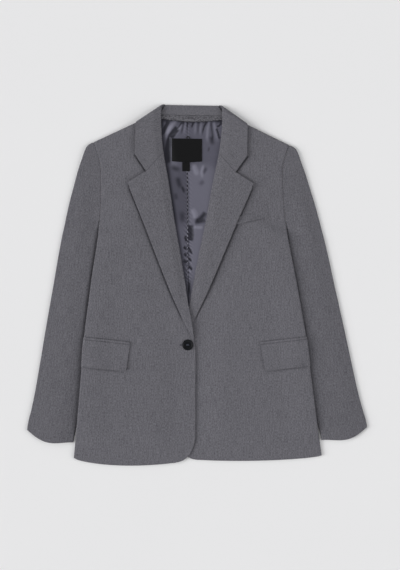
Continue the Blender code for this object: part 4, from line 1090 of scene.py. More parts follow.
def rollColumns(side, y):
    # under the roll, from its short run below to the turn's top
    startX = turnedX(side, y)
    centreZ = frontZ(side, startX, y)
    points = []
    for run in (lapel["rollRun"], 0.0):
        x = startX + side * run
        points.append((x, y, frontZ(side, x, y) - layer))
    for angle in turnAngles(lapel["rollSteps"], -90, 90)[1:-1]:
        x = startX - side * layer * math.cos(angle)
        points.append((x, y, centreZ + layer * math.sin(angle)))
    return points


def gorgePoint(side, u, split, tip, gap):
    # on the edge that goes down the gorge seam and then out to a tip
    inner, notch = lapel["gorgeInner"], lapel["notch"]
    notchX = openingX(side, notch[1], notch[0])
    if u <= split:
        share, startX = u / split, turnedX(side, inner[1] - gap)
        return mix(startX, notchX, share), mix(inner[1], notch[1], share) - gap
    share = (u - split) / (1 - split)
    return mix(notchX, openingX(side, tip[1], tip[0]), share), mix(notch[1] - gap, tip[1], share)


def makeLapel(side):
    split, levelY, wrapEnd = lapel["split"], lapel["levelY"], front["wrapEndY"]
    shares = spread([0.0, split, 1.0], 1 / lapel["columns"], lapel["rim"])
    topY = lapel["gorgeInner"][1] - lapel["gorgeGap"]

    def levelX(y, u):
        return mix(turnedX(side, y), openingX(side, y, lapelHalf(y)), u)

    grid, heights = [], []
    for down in spread([0.0, 1.0], *lapel["gorgeRows"])[:-2] + [1.0]:
        heights.append(mix(topY, levelY, down))
        row = rollColumns(side, heights[-1])
        for u in shares:
            x, y = gorgePoint(side, u, split, lapel["tip"], lapel["gorgeGap"])
            x, y = mix(x, levelX(levelY, u), down), mix(y, levelY, down)
            row.append((x, y, lapelZ(side, x, y)))
        grid.append(row)
    lower = spread([wrapEnd - 1, lapel["endY"][side]], lapel["lowStep"])
    for y in spread([levelY, wrapEnd], lapel["step"])[1:] + lower:
        heights.append(y)
        places = [levelX(y, u) for u in shares]
        grid.append(rollColumns(side, y) + [(x, y, lapelZ(side, x, y)) for x in places])
    name = sideName[side]
    makePanel(
        "cloth", "lapel_" + name, grid, facingSuiting, "folded", ["cloth_front_" + name],
        grain=-side * lapel["grain"],
        keep=lambda i, j: j >= wrapColumns or heights[i + 1] >= wrapEnd)


# collar and stand

collar = {
    "tip": (117.8, 274.0), "corner": (63.3, 378.0), "outer": (113.6, 343.4), "sideHalf": 117.4,
    "fallEdgeY": 333.0, "standRise": 0.8, "standHalf": 70.0, "innerRunY": 357.3,
    "innerSpread": 1.24, "columns": 18, "split": 0.6, "wingTopY": 369.6, "wingSideY": 334.4,
    "wingFull": 0.8,  # share of the wing that is rolled under
    "turnSteps": 14, "turnStart": (7.2, -4.6), "turnEnd": (69.0, 57.0), "turnSlant": (35.0, 55.0),
    "turnTight": 0.8, "fallRoll": 1.2, "neckDrop": 5.0, "neckHalf": 63.0,
    "leafRim": 0.015, "wingRows": (0.05, 0.012), "fallRows": (0.96, 0.08),
    "standRows": (0.09, 0.05), "standColumns": (4.0, 1.0), "standWave": (0.25, 9.0),
}


def wingRow(side, share, leaf):
    inner, tip = lapel["gorgeInner"], collar["tip"]
    startY = mix(inner[1], collar["wingTopY"], share)
    endY = mix(tip[1], collar["wingSideY"], share)
    startX, endX = turnedX(side, startY), openingX(side, endY, collar["sideHalf"])
    firstX, tipX = turnedX(side, inner[1]), openingX(side, tip[1], tip[0])
    row = rollColumns(side, startY)
    bend = 1 - smooth(0, 0.5, share)
    for u in leaf:
        bentX, bentY = gorgePoint(side, u, collar["split"], tip, 0.0)
        x = mix(startX, endX, u) + bend * (bentX - mix(firstX, tipX, u))
        y = mix(startY, endY, u) + bend * (bentY - mix(inner[1], tip[1], u))
        row.append((bentX if share == 0 else x, y, lapelZ(side, x, y)))
    return row


def turnRow(side, angle, tops, leaf):
    # where the collar folds over the shoulder, on its straight silhouette
    corner, outer = collar["corner"], collar["outer"]
    runX, runY = outer[0] - corner[0], outer[1] - corner[1]
    reach = math.hypot(runX, runY)
    alongX, alongY = runX / reach, runY / reach
    turned = (1 - math.sin(angle)) / 2
    small = mix(layer, collar["fallRoll"], smooth(0, collar["turnTight"], turned))

    def at(t, radius, depth=0.0, back=0.0):
        level = radius - depth
        inset = halfThick + radius - level * math.cos(angle) + back * math.sin(angle)
        half = corner[0] + alongX * t + alongY * inset
        y = corner[1] + alongY * t - alongX * inset
        height = halfThick + radius + level * math.sin(angle) + back * math.cos(angle)
        return openingX(side, y, half), y, height

    startT = mix(*collar["turnStart"], turned)
    endT = mix(*collar["turnEnd"], turned)
    slant = math.radians(mix(*collar["turnSlant"], turned))
    radius = (tops[0] - halfThick) / 2
    row = [at(startT, radius)]
    for wrap in turnAngles(lapel["rollSteps"], -90, 90)[:-1]:
        out, depth = small * math.cos(wrap), small * (1 - math.sin(wrap))
        row.append(at(startT - out * math.cos(slant), radius, depth, out * math.sin(slant)))
    for u, top in zip(leaf, tops):
        row.append(at(mix(startT, endT, u), (top - halfThick) / 2))
    return row


def fallRow(share, start, end, leaf):
    # behind the neck: the roll, and the fall under the back
    centre = openingCentre(body["collarTopY"])
    startX, endX = mix(centre, start[0], share), mix(centre, end[0], share)
    endY = mix(collar["fallEdgeY"], end[1], share**2)
    roll = collar["fallRoll"]
    rollY = body["collarTopY"] - halfThick - roll
    low, high = halfThick, halfThick + 2 * roll
    row = []
    for y, wide in ((collar["innerRunY"], collar["innerSpread"]), (rollY, 1.0)):
        row.append((centre + (startX - centre) * wide, y, high))
    for turn in turnAngles(lapel["rollSteps"], 90, -90)[1:-1]:
        y = rollY + roll * math.cos(turn)
        row.append((startX, y, mix(low, high, (1 + math.sin(turn)) / 2)))
    return row + [(mix(startX, endX, u), mix(rollY, endY, u), low) for u in leaf]


def makeCollar():
    leaf = spread([0.0, collar["split"], 1.0], 1 / collar["columns"], collar["leafRim"])
    wingShares = spread([0.0, collar["wingFull"], 1.0], *collar["wingRows"])[:-2] + [1.0]
    fallShares = spread([collar["fallRows"][0], 0.0], collar["fallRows"][1])
    angles = turnAngles(collar["turnSteps"], 90, -90)[1:]
    halves = {}
    for side in (right, left):
        rows = [wingRow(side, share, leaf) for share in wingShares]
        tops = [point[2] for point in rows[-1][wrapColumns:]]
        rows += [turnRow(side, angle, tops, leaf) for angle in angles]
        start, end = rows[-1][wrapColumns], rows[-1][-1]
        rows[-1][:wrapColumns] = fallRow(1.0, start, end, leaf)[:wrapColumns]
        halves[side] = rows + [fallRow(share, start, end, leaf) for share in fallShares]
    grid = halves[right] + halves[left][::-1][1:]
    middle = len(halves[right]) - 1
    wings = len([share for share in wingShares if share <= collar["wingFull"]])
    lip = 1 + lapel["rollSteps"] // 2

    def keep(i, j):
        # only the wings and the fall roll under fully; the folds keep a lip
        fromEnd = i if i < middle else 2 * middle - 1 - i
        return j >= lip or fromEnd < wings - 1 or fromEnd >= middle - len(fallShares)

    makePanel(
        "cloth", "collar", grid, facingSuiting, "folded",
        ["cloth_front_right", "cloth_front_left", "cloth_back_right", "cloth_back_left"],
        keep=keep, own=wrapColumns)


def neckSeamY(half):
    return body["neckSeamY"] + collar["neckDrop"] * (half / collar["neckHalf"]) ** 2


def makeStand():
    rows = []
    end, (waveTall, waveLong) = collar["standHalf"], collar["standWave"]
    for share in spread([0.0, 1.0], *collar["standRows"]):
        row = []
        for half in spread([-end, end], *collar["standColumns"]):
            y = mix(collar["innerRunY"] - cloth["seam"], neckSeamY(half) + cloth["seam"], share)
            height = halfThick + 2 * collar["fallRoll"] + collar["standRise"] * share
            wave = waveTall * math.sin(half / waveLong + 2 * share) * math.sin(math.pi * share)
            row.append((openingCentre(y) + half, y, height + wave))
        rows.append(row)
    makePanel("cloth", "collar_stand", rows, standSuiting, "laid", ["cloth_collar"], grain=90.0)


# pockets

pocket = {
    "half": 138.6, "topY": -113.6, "slope": 0.114, "deep": 56.0, "slant": 3.8, "corner": 6.0,
    "innerFrom": 60.0, "innerColumns": 10, "firstColumn": 1.2, "step": 4.0, "freeWide": 24.0,
    "roundFold": [-1.0, -2.0, -3.0], "firstRow": 1.2, "lastRows": (2.0, 0.8),
    "jetTall": 5.0, "jetRows": [0.0, 0.8, 2.5, 4.2, 5.0], "jetProud": 1.1,
    "flapProud": 0.2, "flapStandOff": 2.8,
}
welt = {
    "from": (70.0, 125.5), "to": (148.6, 143.4), "tall": 16.0, "proud": 2.4,
    "rows": (0.0, 0.06, 0.2, 0.35, 0.5, 0.65, 0.8, 0.94, 1.0), "columns": (0.05, 0.012),
    "proudFrom": (0.3, 1.0), "endLow": (1.0, 0.7),
}


def pocketPoint(side, inwards, y):
    # on a front, measured inwards from its side fold; below 0 it goes round the fold
    radius, half = sideRise(y) / 2, foldHalf(y)
    if inwards >= 0:
        x = bodyX(side, y, half - inwards)
        return x, y, frontZ(side, x, y)
    turn = -inwards / radius
    height = backZ(side, bodyX(side, y, half), y) + radius * (1 + math.cos(turn))
    return bodyX(side, y, half + radius * math.sin(turn)), y, height


def pocketStrip(name, side, top, depths, corner, thick, raised, standOff):
    grid = []
    start, count = pocket["innerFrom"], pocket["innerColumns"]
    for depth in depths:
        past = max(depth - (depths[-1] - corner), 0.0)
        inset = corner - math.sqrt(max(corner**2 - past**2, 0.0))
        inner = sideHalf(pocket["topY"]) - pocket["half"] - inset
        inner -= pocket["slant"] * depth / pocket["deep"]
        stations = [inner, inner - pocket["firstColumn"]]
        stations += [mix(inner, start, k / count) for k in range(1, count)]
        line = []
        for inwards in stations + spread([start, 0.0], pocket["step"]) + pocket["roundFold"]:
            y = pocket["topY"] + top - depth - pocket["slope"] * max(inwards, 0.0)
            x, y, z = pocketPoint(side, inwards, y)
            proud = raised + standOff * (depth / pocket["deep"]) ** 3
            line.append((x, y, z + smooth(0, pocket["freeWide"], inwards) * proud))
        grid.append(line)
    makePanel(
        "cloth", name + sideName[side], grid, suiting, "laid", ["cloth_front_" + sideName[side]],
        thick=thick, out=halfThick + cloth["seam"] + thick / 2)


def makePocket(side):
    deep, corner = pocket["deep"], pocket["corner"]
    depths = spread([0.0, pocket["firstRow"], deep - corner, deep], pocket["step"])
    depths = sorted({*depths, *(deep - row for row in pocket["lastRows"])})
    pocketStrip(
        "flap_", side, 0.0, depths, corner, cloth["thick"],
        pocket["flapProud"], pocket["flapStandOff"])
    jetTop, proud = pocket["jetTall"] + cloth["seam"], pocket["jetProud"]
    pocketStrip("jet_", side, jetTop, pocket["jetRows"], 0.0, cloth["welt"], proud, 0.0)


def makeBreastWelt():
    grid = []
    for down in welt["rows"]:
        line = []
        for share in spread([0.0, 1.0], *welt["columns"]):
            x, y = (mix(a, b, share) for a, b in zip(welt["from"], welt["to"]))
            y += welt["tall"] * (1 - down)
            proud = welt["proud"] * smooth(*welt["proudFrom"], down)
            proud *= smooth(*welt["endLow"], share)
            line.append((x, y, frontZ(left, x, y) + proud))
        grid.append(line)
    makePanel(
        "cloth", "breast_welt", grid, suiting, "laid", ["cloth_front_left"],
        thick=cloth["welt"] / 2, out=halfThick + cloth["welt"] / 4)


# lining, label and loop

lining = {
    "margin": 14.0, "topY": 341.0, "endY": -62.0, "seamX": -20.3, "seamLean": 0.0055,
    "ramp": {right: 4.4, left: 5.8}, "rampLow": 0.48,  # height at each roll, share at the seam
    "rampFrom": (-60, 90), "billow": 4.8, "billowFrom": (215, 262),
    "neckLow": 0.3, "neckRise": (0, 12), "freeFrom": (-2, 8), "labelFlat": 7.0,
    "rim": {right: (0.0, 5, 26), left: (0.8, 0, 14)},  # share of the billow at the roll, fade
    "step": 1.9, "neckRow": 1.5, "columns": 44,
    "puckerMm": 8.0, "puckerTall": 0.7, "puckerWide": 7.0, "puckerSlant": 0.8,
    "puckerSway": (3.0, 13.0), "puckerFaint": 0.45,
    "puckerFrom": (150, 100), "puckerEnd": (-10, 24),
    "groove": 1.7, "grooveWide": 2.2, "grooveFrom": (262, 235), "foldTall": 0.6, "sinkShare": 0.15,
}
satinPaintedLight = {  # painted light on the satin: a share of painted highlight or painted shade, and where it starts
    "flat": 0.5, "pucker": 1.5, "foldTall": 3.0, "seam": (2, -2), "below": (262, 236),
    "left": -0.2, "right": (0.12, -0.06), "rightTurn": (150, 115),
    "tucked": 0.4, "atNeck": (6, 1), "atRoll": (9, 1),
}
label = {"centre": (-21.5, 283.4), "size": (63.0, 47.5), "bow": 2.0}
sizeTab = {"centre": (-23.5, 248.2), "size": (15.8, 18.6), "bow": 0.0}
tape = {"rows": (0.09, 0.02), "columns": (0.07, 0.015)}
loop = {
    "wide": 9.0, "tall": 6.0, "thick": 1.6, "offX": 2.0, "offY": 1.0, "raised": 0.4,
    "steps": 24,
}
liningFolds = foldField([  # height, half width, fades, path: ridges up, troughs down
    (-4.0, 5.0, 0.0, 0.3, [(-60, 344), (-64, 336), (-69, 326), (-74, 314)]),
    (1.5, 8.0, 0.0, 0.5, [(-46, 344), (-56, 330), (-64, 316), (-70, 302)]),
    (-5.8, 8.5, 0.05, 0.25, [
        (-40, 330), (-48, 321), (-55, 312), (-59, 300), (-61, 286), (-61, 270), (-59, 252)]),
    (-1.8, 2.6, 0.0, 0.3, [(-33, 340), (-38, 332), (-43, 326)]),
    (1.0, 6.0, 0.0, 0.4, [(-33, 334), (-41, 322), (-48, 312)]),
    (-1.1, 3.5, 0.0, 0.5, [(-29, 342), (-31, 328), (-34, 312)]),
    (0.8, 4.0, 0.0, 0.5, [(-24, 342), (-26, 326), (-27, 312)]),
    (-1.4, 3.0, 0.0, 0.6, [(-20, 342), (-21, 334), (-21, 322)]),
    (-2.4, 2.6, 0.0, 0.5, [(-7, 342), (-10, 336), (-12, 328)]),
    (0.9, 4.0, 0.0, 0.5, [(-3, 342), (-4, 326), (-5, 311)]),
    (-0.8, 3.5, 0.0, 0.5, [(3, 342), (2, 326), (2, 311)]),
    (0.9, 4.0, 0.0, 0.5, [(9, 342), (7, 326), (6, 311)]),
    (-2.0, 3.0, 0.0, 0.5, [(20, 343), (15, 334), (12, 324), (11, 312)]),
    (1.2, 5.0, 0.0, 0.4, [(25, 343), (22, 326), (21, 310), (24, 296)]),
    (-1.2, 4.0, 0.0, 0.4, [(29, 340), (31, 326), (33, 312), (32, 300)]),
    (-1.2, 8.0, 0.3, 0.4, [(28, 316), (31, 304), (35, 292)]),
    (1.1, 4.5, 0.0, 0.4, [(35, 342), (38, 326), (42, 310), (45, 298)]),
    (-4.0, 3.5, 0.1, 0.3, [(40, 330), (43, 322), (46, 312), (48, 306)]),
    (-0.9, 3.5, 0.3, 0.3, [(26, 292), (23, 280)]),
    (-4.5, 2.4, 0.0, 0.0, [(42, 347), (50, 347), (51.5, 340), (46, 335.5), (43, 334)]),
    (-4.5, 2.4, 0.0, 0.0, [(-74, 334), (-74.5, 344), (-69, 347.5), (-61, 345)]),
    (-1.2, 9.0, 0.4, 0.5, [(-56, 252), (-46, 245), (-32, 240)]),
    (1.8, 8.0, 0.3, 0.4, [(-8, 256), (-3, 242), (2, 228)]),
    (1.6, 5.0, 0.3, 0.4, [(14, 256), (10, 236), (12, 222)]),
    (-1.4, 7.0, 0.4, 0.5, [(21, 250), (16, 241), (11, 231)]),
    (-0.9, 8.0, 0.4, 0.5, [(16, 222), (10, 215), (3, 208)]),
    (-1.0, 9.0, 0.3, 0.4, [(-42, 230), (-38, 214), (-32, 200)]),
    (-1.4, 5.0, 0.4, 0.4, [(-33, 209), (-25, 192)]),
    (-0.7, 7.0, 0.4, 0.4, [(-47, 196), (-42, 176)]),
    (-0.8, 10.0, 0.4, 0.4, [(-32, 160), (-30, 126)]),
    (2.0, 8.0, 0.3, 0.3, [(-11, 162), (-4, 150), (-3, 138)]),
    (-2.2, 9.0, 0.15, 0.2, [(19, 154), (13, 146), (7, 140), (-3, 134)]),
    (-1.8, 8.0, 0.15, 0.05, [(-6, 132), (6, 134), (18, 136)]),
    (1.2, 5.0, 0.2, 0.2, [(-8, 122), (4, 121.5), (14, 121.5)]),
    (-0.8, 5.0, 0.12, 0.1, [(-19, 236), (-18.5, 150), (-17.5, 20)]),
    (-5.4, 3.6, 0.2, 0.3, [(-26, 104), (-22, 91)]),
    (-4.8, 3.6, 0.2, 0.3, [(-29, 81), (-22, 75)]),
    (-3.9, 3.6, 0.2, 0.3, [(-28, 67), (-22, 61)]),
    (-4.5, 3.6, 0.2, 0.3, [(-31, 53), (-21, 47)]),
    (-3.4, 9.0, 0.15, 0.15, [(-14, 128), (-12, 106), (-14, 92)]),
    (-3.9, 3.6, 0.2, 0.3, [(-19, 81), (-9, 65)]),
    (-3.9, 3.6, 0.2, 0.3, [(-18, 58), (-11, 50)]),
    (-4.5, 3.6, 0.2, 0.3, [(-18, 41), (-9, 32)]),
    (3.0, 3.6, 0.2, 0.3, [(-18, 35), (-12, 27)]),
    (-1.8, 5.0, 0.3, 0.4, [(-17, 12), (-17, -26)]),
])


def liningSeam(y):
    return lining["seamX"] + lining["seamLean"] * (body["neckSeamY"] - y)


def belowNeck(x, y):
    return neckSeamY(x - openingCentre(y)) - y


def liningBillow(x, y):
    least, start, full = lining["rim"][right if x < openingCentre(y) else left]
    share = mix(least, 1.0, smooth(start, full, insideRoll(x, y)))
    share *= mix(lining["neckLow"], 1.0, smooth(*lining["neckRise"], belowNeck(x, y)))
    seam = liningSeam(y)
    side = right if x < seam else left
    away = clamp((x - seam) / (openingX(side, y, rollHalf(y)) - seam))
    ramp = lining["ramp"][side] * mix(lining["rampLow"], 1.0, away)
    ramp *= smooth(*lining["rampFrom"], y)
    return mix(ramp, lining["billow"] * share, smooth(*lining["billowFrom"], y))


def liningPucker(x, y):
    # the seam draws the satin in: slanting puckers that die away from it
    off, (sway, swayLong) = x - liningSeam(y), lining["puckerSway"]
    phase = y + lining["puckerSlant"] * off + sway * math.sin(y / swayLong)
    strong = mix(lining["puckerFaint"], 1.0, smooth(*lining["puckerFrom"], y))
    strong *= smooth(*lining["puckerEnd"], y)
    wave = math.sin(2 * math.pi * phase / lining["puckerMm"])
    return lining["puckerTall"] * strong * wave * bell(off, lining["puckerWide"])


def liningPaintedLight(x, y):
    # painted light for the satin's colour: half way on flat satin, one (painted shade) down in a
    # fold, nothing (painted highlight) on a crest; below the label the wearer's left half is
    # painted paler, a painted highlight, and the right half darker, painted shade, turning faintly
    # paler lower down
    folds = liningFolds(x, y) + satinPaintedLight["pucker"] * liningPucker(x, y)
    onRight = smooth(*satinPaintedLight["seam"], x - liningSeam(y))
    half = mix(satinPaintedLight["left"], mix(*satinPaintedLight["right"], smooth(*satinPaintedLight["rightTurn"], y)), onRight)
    half *= smooth(*satinPaintedLight["below"], y)
    # painted shade below the neck seam, and inside the roll on the wearer's right
    tucked = satinPaintedLight["tucked"] * smooth(*satinPaintedLight["atNeck"], belowNeck(x, y))
    tucked += satinPaintedLight["tucked"] * smooth(*satinPaintedLight["atRoll"], insideRoll(x, y)) * onRight
    return clamp(satinPaintedLight["flat"] + half + tucked - folds / satinPaintedLight["foldTall"])


def liningZ(x, y, folded=True):
    base = cloth["thick"] + cloth["gap"] + cloth["satin"] / 2 + neckLift(x, y)
    billow = liningBillow(x, y)
    if not folded:
        return base + billow
    onLabel = max(
        abs(at - centre) - size / 2
        for at, centre, size in zip((x, y), label["centre"], label["size"]))
    free = smooth(*lining["freeFrom"], insideRoll(x, y)) * smooth(0, lining["labelFlat"], onLabel)
    off, groove = x - liningSeam(y), 0.0
    if off < 0:  # only the wearer's right half dips, as if pressed under the other
        groove = -lining["groove"] * bell(off, lining["grooveWide"])
        groove *= smooth(*lining["grooveFrom"], y)
    folds = lining["foldTall"] * liningFolds(x, y) + liningPucker(x, y) + groove
    lift = billow + free * folds
    return base + max(lift, 0.0) + lining["sinkShare"] * min(lift, 0.0)


def makeLining(side):
    grid = []
    columns = lining["columns"]
    heights = [body["neckSeamY"], *spread([lining["topY"], lining["endY"]], lining["step"])]
    for number, level in enumerate(heights):
        edge = openingX(side, level, rollHalf(level) + lining["margin"])
        row = []
        for x in evenly(liningSeam(level) + side * halfSeam, edge, columns):
            y = level
            if number < 2:  # along the neck seam
                y = neckSeamY(x - openingCentre(y)) - cloth["seam"] - number * lining["neckRow"]
            row.append((x, y, liningZ(x, y)))
        grid.append(row)
    name = sideName[side]
    made = makePanel(
        "satin", "lining_" + name, grid, satin, "gathered", ["cloth_back_" + name],
        thick=cloth["satin"], slot="satin")
    # the painted light map for the satin's colour: painted shade in folds, painted highlights on
    # crests
    paintedLight = made.data.attributes.new("paintedLight", "FLOAT", "POINT")
    for number, point in enumerate(made.data.vertices):
        x, y = (point.co.x - shift[0]) / mm, (point.co.y - shift[1]) / mm
        paintedLight.data[number].value = liningPaintedLight(x, y - tilt(y) * x)


def makeTapePiece(name, spec):
    grid = []
    (x0, y0), (wide, tall) = spec["centre"], spec["size"]
    for down in spread([0.0, 1.0], *tape["rows"]):
        line = []
        for u in spread([0.0, 1.0], *tape["columns"]):
            x = x0 + wide * (u - 0.5)
            y = y0 + tall * (0.5 - down) - spec["bow"] * down * math.sin(math.pi * u)
            line.append((x, y, liningZ(x, y, folded=False)))
        grid.append(line)
    thick = cloth["tape"]
    makePanel(
        "tape", name, grid, tapeWeave, "laid", ["satin_lining_right", "satin_lining_left"],
        thick=thick, slot="tape", out=cloth["satin"] / 2 + cloth["seam"] + thick / 2)


tube = {"sides": 10, "steep": 0.9, "tip": 0.6}


def makeTube(name, path, radius, paint, sides=tube["sides"]):
    # a round thread or cord along a path of laid points, with pointed closed ends
    points, faces = [], []
    vectors = [Vector(p) for p in path]
    count = len(vectors)
    for k, here in enumerate(vectors):
        ahead = vectors[min(k + 1, count - 1)] - vectors[max(k - 1, 0)]
        ahead.normalize()
        up = Vector((0, 0, 1)) if abs(ahead.z) < tube["steep"] else Vector((0, 1, 0))
        across = ahead.cross(up).normalized()
        up = across.cross(ahead)
        for n in range(sides):
            turn = 2 * math.pi * n / sides
            points.append(here + (across * math.cos(turn) + up * math.sin(turn)) * radius)
    for k in range(count - 1):
        for n in range(sides):
            a, b = k * sides + n, k * sides + (n + 1) % sides
            faces.append([a, a + sides, b + sides, b])
    for end, step in ((0, -1), (count - 1, 1)):
        ahead = (vectors[end] - vectors[end - step]).normalized()
        points.append(vectors[end] + ahead * radius * tube["tip"])
        tip = len(points) - 1
        for n in range(sides):
            a, b = end * sides + n, end * sides + (n + 1) % sides
            faces.append([a, b, tip] if step < 0 else [b, a, tip])
    mesh = bpy.data.meshes.new(name)
    mesh.from_pydata(place([tuple(p) for p in points]).tolist(), [], faces)
    mesh.materials.append(paint)
    mesh.shade_smooth()
    return addObject(name, mesh)


def makeLoop():
    radius, steps = loop["thick"] / 2, loop["steps"]
    x0 = label["centre"][0] + loop["offX"]
    y0 = label["centre"][1] + label["size"][1] / 2 - loop["offY"]
    lift = cloth["satin"] / 2 + cloth["seam"] + radius + loop["raised"]
    path = []
    for turn in turnAngles(steps, 0, 180):
        x = x0 + (loop["wide"] / 2 - radius) * math.cos(turn)
        y = y0 + (loop["tall"] - radius) * math.sin(turn)
        path.append((x, y, liningZ(x, y, folded=False) + lift))
    finishPiece(makeTube("braid_loop", path, radius, loopThread), "tape", "hang_loop")


# button, buttonhole and stitches

button = {
    "centre": (-19.8, -125.3), "holeFromCentre": 2.6, "holeLong": 15.5, "holeHalf": 1.3,
    "threadTurns": (-0.42, 0.0, 0.42), "threadWiden": 0.15, "threadRadius": 0.3,
    "threadPast": 0.35, "threadArch": 0.75, "threadStep": 0.125, "threadSides": 8,
    "threadLow": 1.35, "threadDown": 2.3,  # below the rim's top, on the button and in its holes
}
sewing = {  # distance, length and thickness of the stitches, and their turn
    "seam": {"Pitch": 8.4, "Long": 4.6, "Thick": 1.3, "Seed": 3},
    "hole": {"Pitch": 0.75, "Long": 2.2, "Thick": 0.7, "Turn": 90.0, "Seed": 5},
    "label": {"Pitch": 3.2, "Long": 2.2, "Thick": 0.45, "Seed": 9},
    "seamY": (238.0, 22.0), "seamOff": 1.3, "seamRaised": 0.15, "seamStep": 3.0,
    "holeRaised": 0.1, "holeStep": 1.0, "holeTurns": 8,
    "labelHalf": 20.0, "labelInset": 1.6, "labelRaised": 1.9, "labelStep": 4.0,
}


def stitchTree():
    # rows of short round stitches along a path; a turn of 90 lays them across it
    tree = bpy.data.node_groups.new("stitchRow", "GeometryNodeTree")
    sockets = [("Path", "Geometry", None), ("Pitch", "Float", 4.0), ("Long", "Float", 3.0),
               ("Thick", "Float", 0.5), ("Turn", "Float", 0.0), ("Wobble", "Float", 4.0),
               ("Seed", "Int", 7), ("Thread", "Material", None)]
    for name, kind, value in sockets:
        made = tree.interface.new_socket(
            name=name, in_out="INPUT", socket_type="NodeSocket" + kind)
        if value is not None:
            made.default_value = value
    tree.interface.new_socket(
        name="Stitches", in_out="OUTPUT", socket_type="NodeSocketGeometry")
    given = addNode(tree, "NodeGroupInput").outputs
    curve = addNode(tree, "GeometryNodeMeshToCurve", {0: given["Path"]})
    pitch = addNode(tree, "ShaderNodeMath", {0: given["Pitch"], 1: mm}, operation="MULTIPLY")
    spaced = addNode(tree, "GeometryNodeResampleCurve", {
        "Curve": curve, "Length": pitch}, mode="LENGTH")
    tangent = addNode(tree, "GeometryNodeInputTangent")
    aim = addNode(tree, "FunctionNodeAlignRotationToVector", {"Vector": tangent}, axis="X")
    wobble = addNode(tree, "FunctionNodeRandomValue", {
        2: -1.0, 3: 1.0, "Seed": given["Seed"]}, data_type="FLOAT")
    swing = addNode(tree, "ShaderNodeMath", {
        0: wobble, 1: given["Wobble"], 2: given["Turn"]}, operation="MULTIPLY_ADD")
    radians = addNode(tree, "ShaderNodeMath", {0: swing}, operation="RADIANS")
    spin = addNode(tree, "FunctionNodeAxisAngleToRotation", {
        "Axis": (0.0, 0.0, 1.0), "Angle": radians})
    turned = addNode(tree, "FunctionNodeRotateRotation", {
        0: aim, 1: spin}, rotation_space="LOCAL")
    size = addNode(tree, "ShaderNodeCombineXYZ", {
        "X": given["Long"], "Y": given["Thick"], "Z": given["Thick"]})
    metres = addNode(tree, "ShaderNodeVectorMath", {0: size, "Scale": mm}, operation="SCALE")
    bead = addNode(tree, "GeometryNodeMeshUVSphere", {"Segments": 8, "Rings": 6, "Radius": 0.5})
    put = addNode(tree, "GeometryNodeInstanceOnPoints", {
        "Points": spaced, "Instance": bead, "Rotation": turned, "Scale": metres})
    real = addNode(tree, "GeometryNodeRealizeInstances", {0: put})
    smoothed = addNode(tree, "GeometryNodeSetShadeSmooth", {0: real})
    painted = addNode(tree, "GeometryNodeSetMaterial", {
        "Geometry": smoothed, "Material": given["Thread"]})
    addNode(tree, "NodeGroupOutput", {"Stitches": painted})
    return tree


def sewRow(name, path, paint, slotName, sizes):
    mesh = bpy.data.meshes.new(name + "Path")
    edges = [(k, k + 1) for k in range(len(path) - 1)]
    mesh.from_pydata(place(path).tolist(), edges, [])
    guide = addObject(name + "Path", mesh)
    modifier = guide.modifiers.new("stitches", "NODES")
    modifier.node_group = stitches
    sockets = {item.name: item.identifier for item in stitches.interface.items_tree}
    for key, value in {**sizes, "Thread": paint}.items():
        modifier[sockets[key]] = value
    evaluated = guide.evaluated_get(bpy.context.evaluated_depsgraph_get())
    sewn = bpy.data.meshes.new_from_object(evaluated)
    sewn.name = name
    bpy.data.objects.remove(guide)
    finishPiece(addObject(name, sewn), slotName)


def makeStitches():
    # the lining's centre seam, topstitched in a paler thread: real stitches are 2.5 mm
    # apart, and these are three times as coarse, because finer ones don't show
    path = []
    for y in spread(sewing["seamY"], sewing["seamStep"]):
        x = liningSeam(y) - sewing["seamOff"]
        path.append((x, y, liningZ(x, y) + cloth["satin"] / 2 + sewing["seamRaised"]))
    sewRow("lining_seam_stitches", path, seamThread, "satin", sewing["seam"])
    # the keyhole buttonhole: purl stitches close together round the slit
    x0, y0 = button["centre"]
    half, start, end = button["holeHalf"], x0 - button["holeFromCentre"], x0 - button["holeLong"]
    path = [(x, y0 + half) for x in spread([start, end], sewing["holeStep"])]
    for turn in turnAngles(sewing["holeTurns"], 90, 270):
        path.append((end + half * math.cos(turn), y0 + half * math.sin(turn)))
    path += [(x, y0 - half) for x in spread([end, start], sewing["holeStep"])]
    path = [(x, y, frontZ(right, x, y) + halfThick + sewing["holeRaised"]) for x, y in path]
    sewRow("buttonhole_stitches", path, holeThread, "suiting", sewing["hole"])
    # the label is tacked down along its two sides
    (x0, y0), reach = label["centre"], sewing["labelHalf"]
    for side in (right, left):
        x = x0 + side * (label["size"][0] / 2 - sewing["labelInset"])
        path = []
        for y in spread([y0 - reach, y0 + reach], sewing["labelStep"]):
            path.append((x, y, liningZ(x, y, folded=False) + sewing["labelRaised"]))
        sewRow("label_stitches_" + sideName[side], path, blackThread, "tape", sewing["label"])


def makeButtonThread():
    # three turns of thread across the button's two holes, each with its ends down in them
    x0, y0 = button["centre"]
    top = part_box("button")[1][2] / mm
    reach = button["holeFromCentre"] + button["threadPast"]
    for number, off in enumerate(button["threadTurns"]):
        y = y0 + off * (1 + button["threadWiden"] * number)
        path = []
        for share in spread([-1.0, 1.0], button["threadStep"]):
            arch = button["threadArch"] * (1 - share**4)
            path.append((x0 + share * reach, y, top + arch - button["threadLow"]))
        down = [(path[end][0], y, top - button["threadDown"]) for end in (0, -1)]
        path = down[:1] + path + down[1:]
        name = "button_thread_" + str(number + 1)
        made = makeTube(
            name, path, button["threadRadius"], buttonThread, sides=button["threadSides"])
        finishPiece(made, "button")


# floor, light and camera

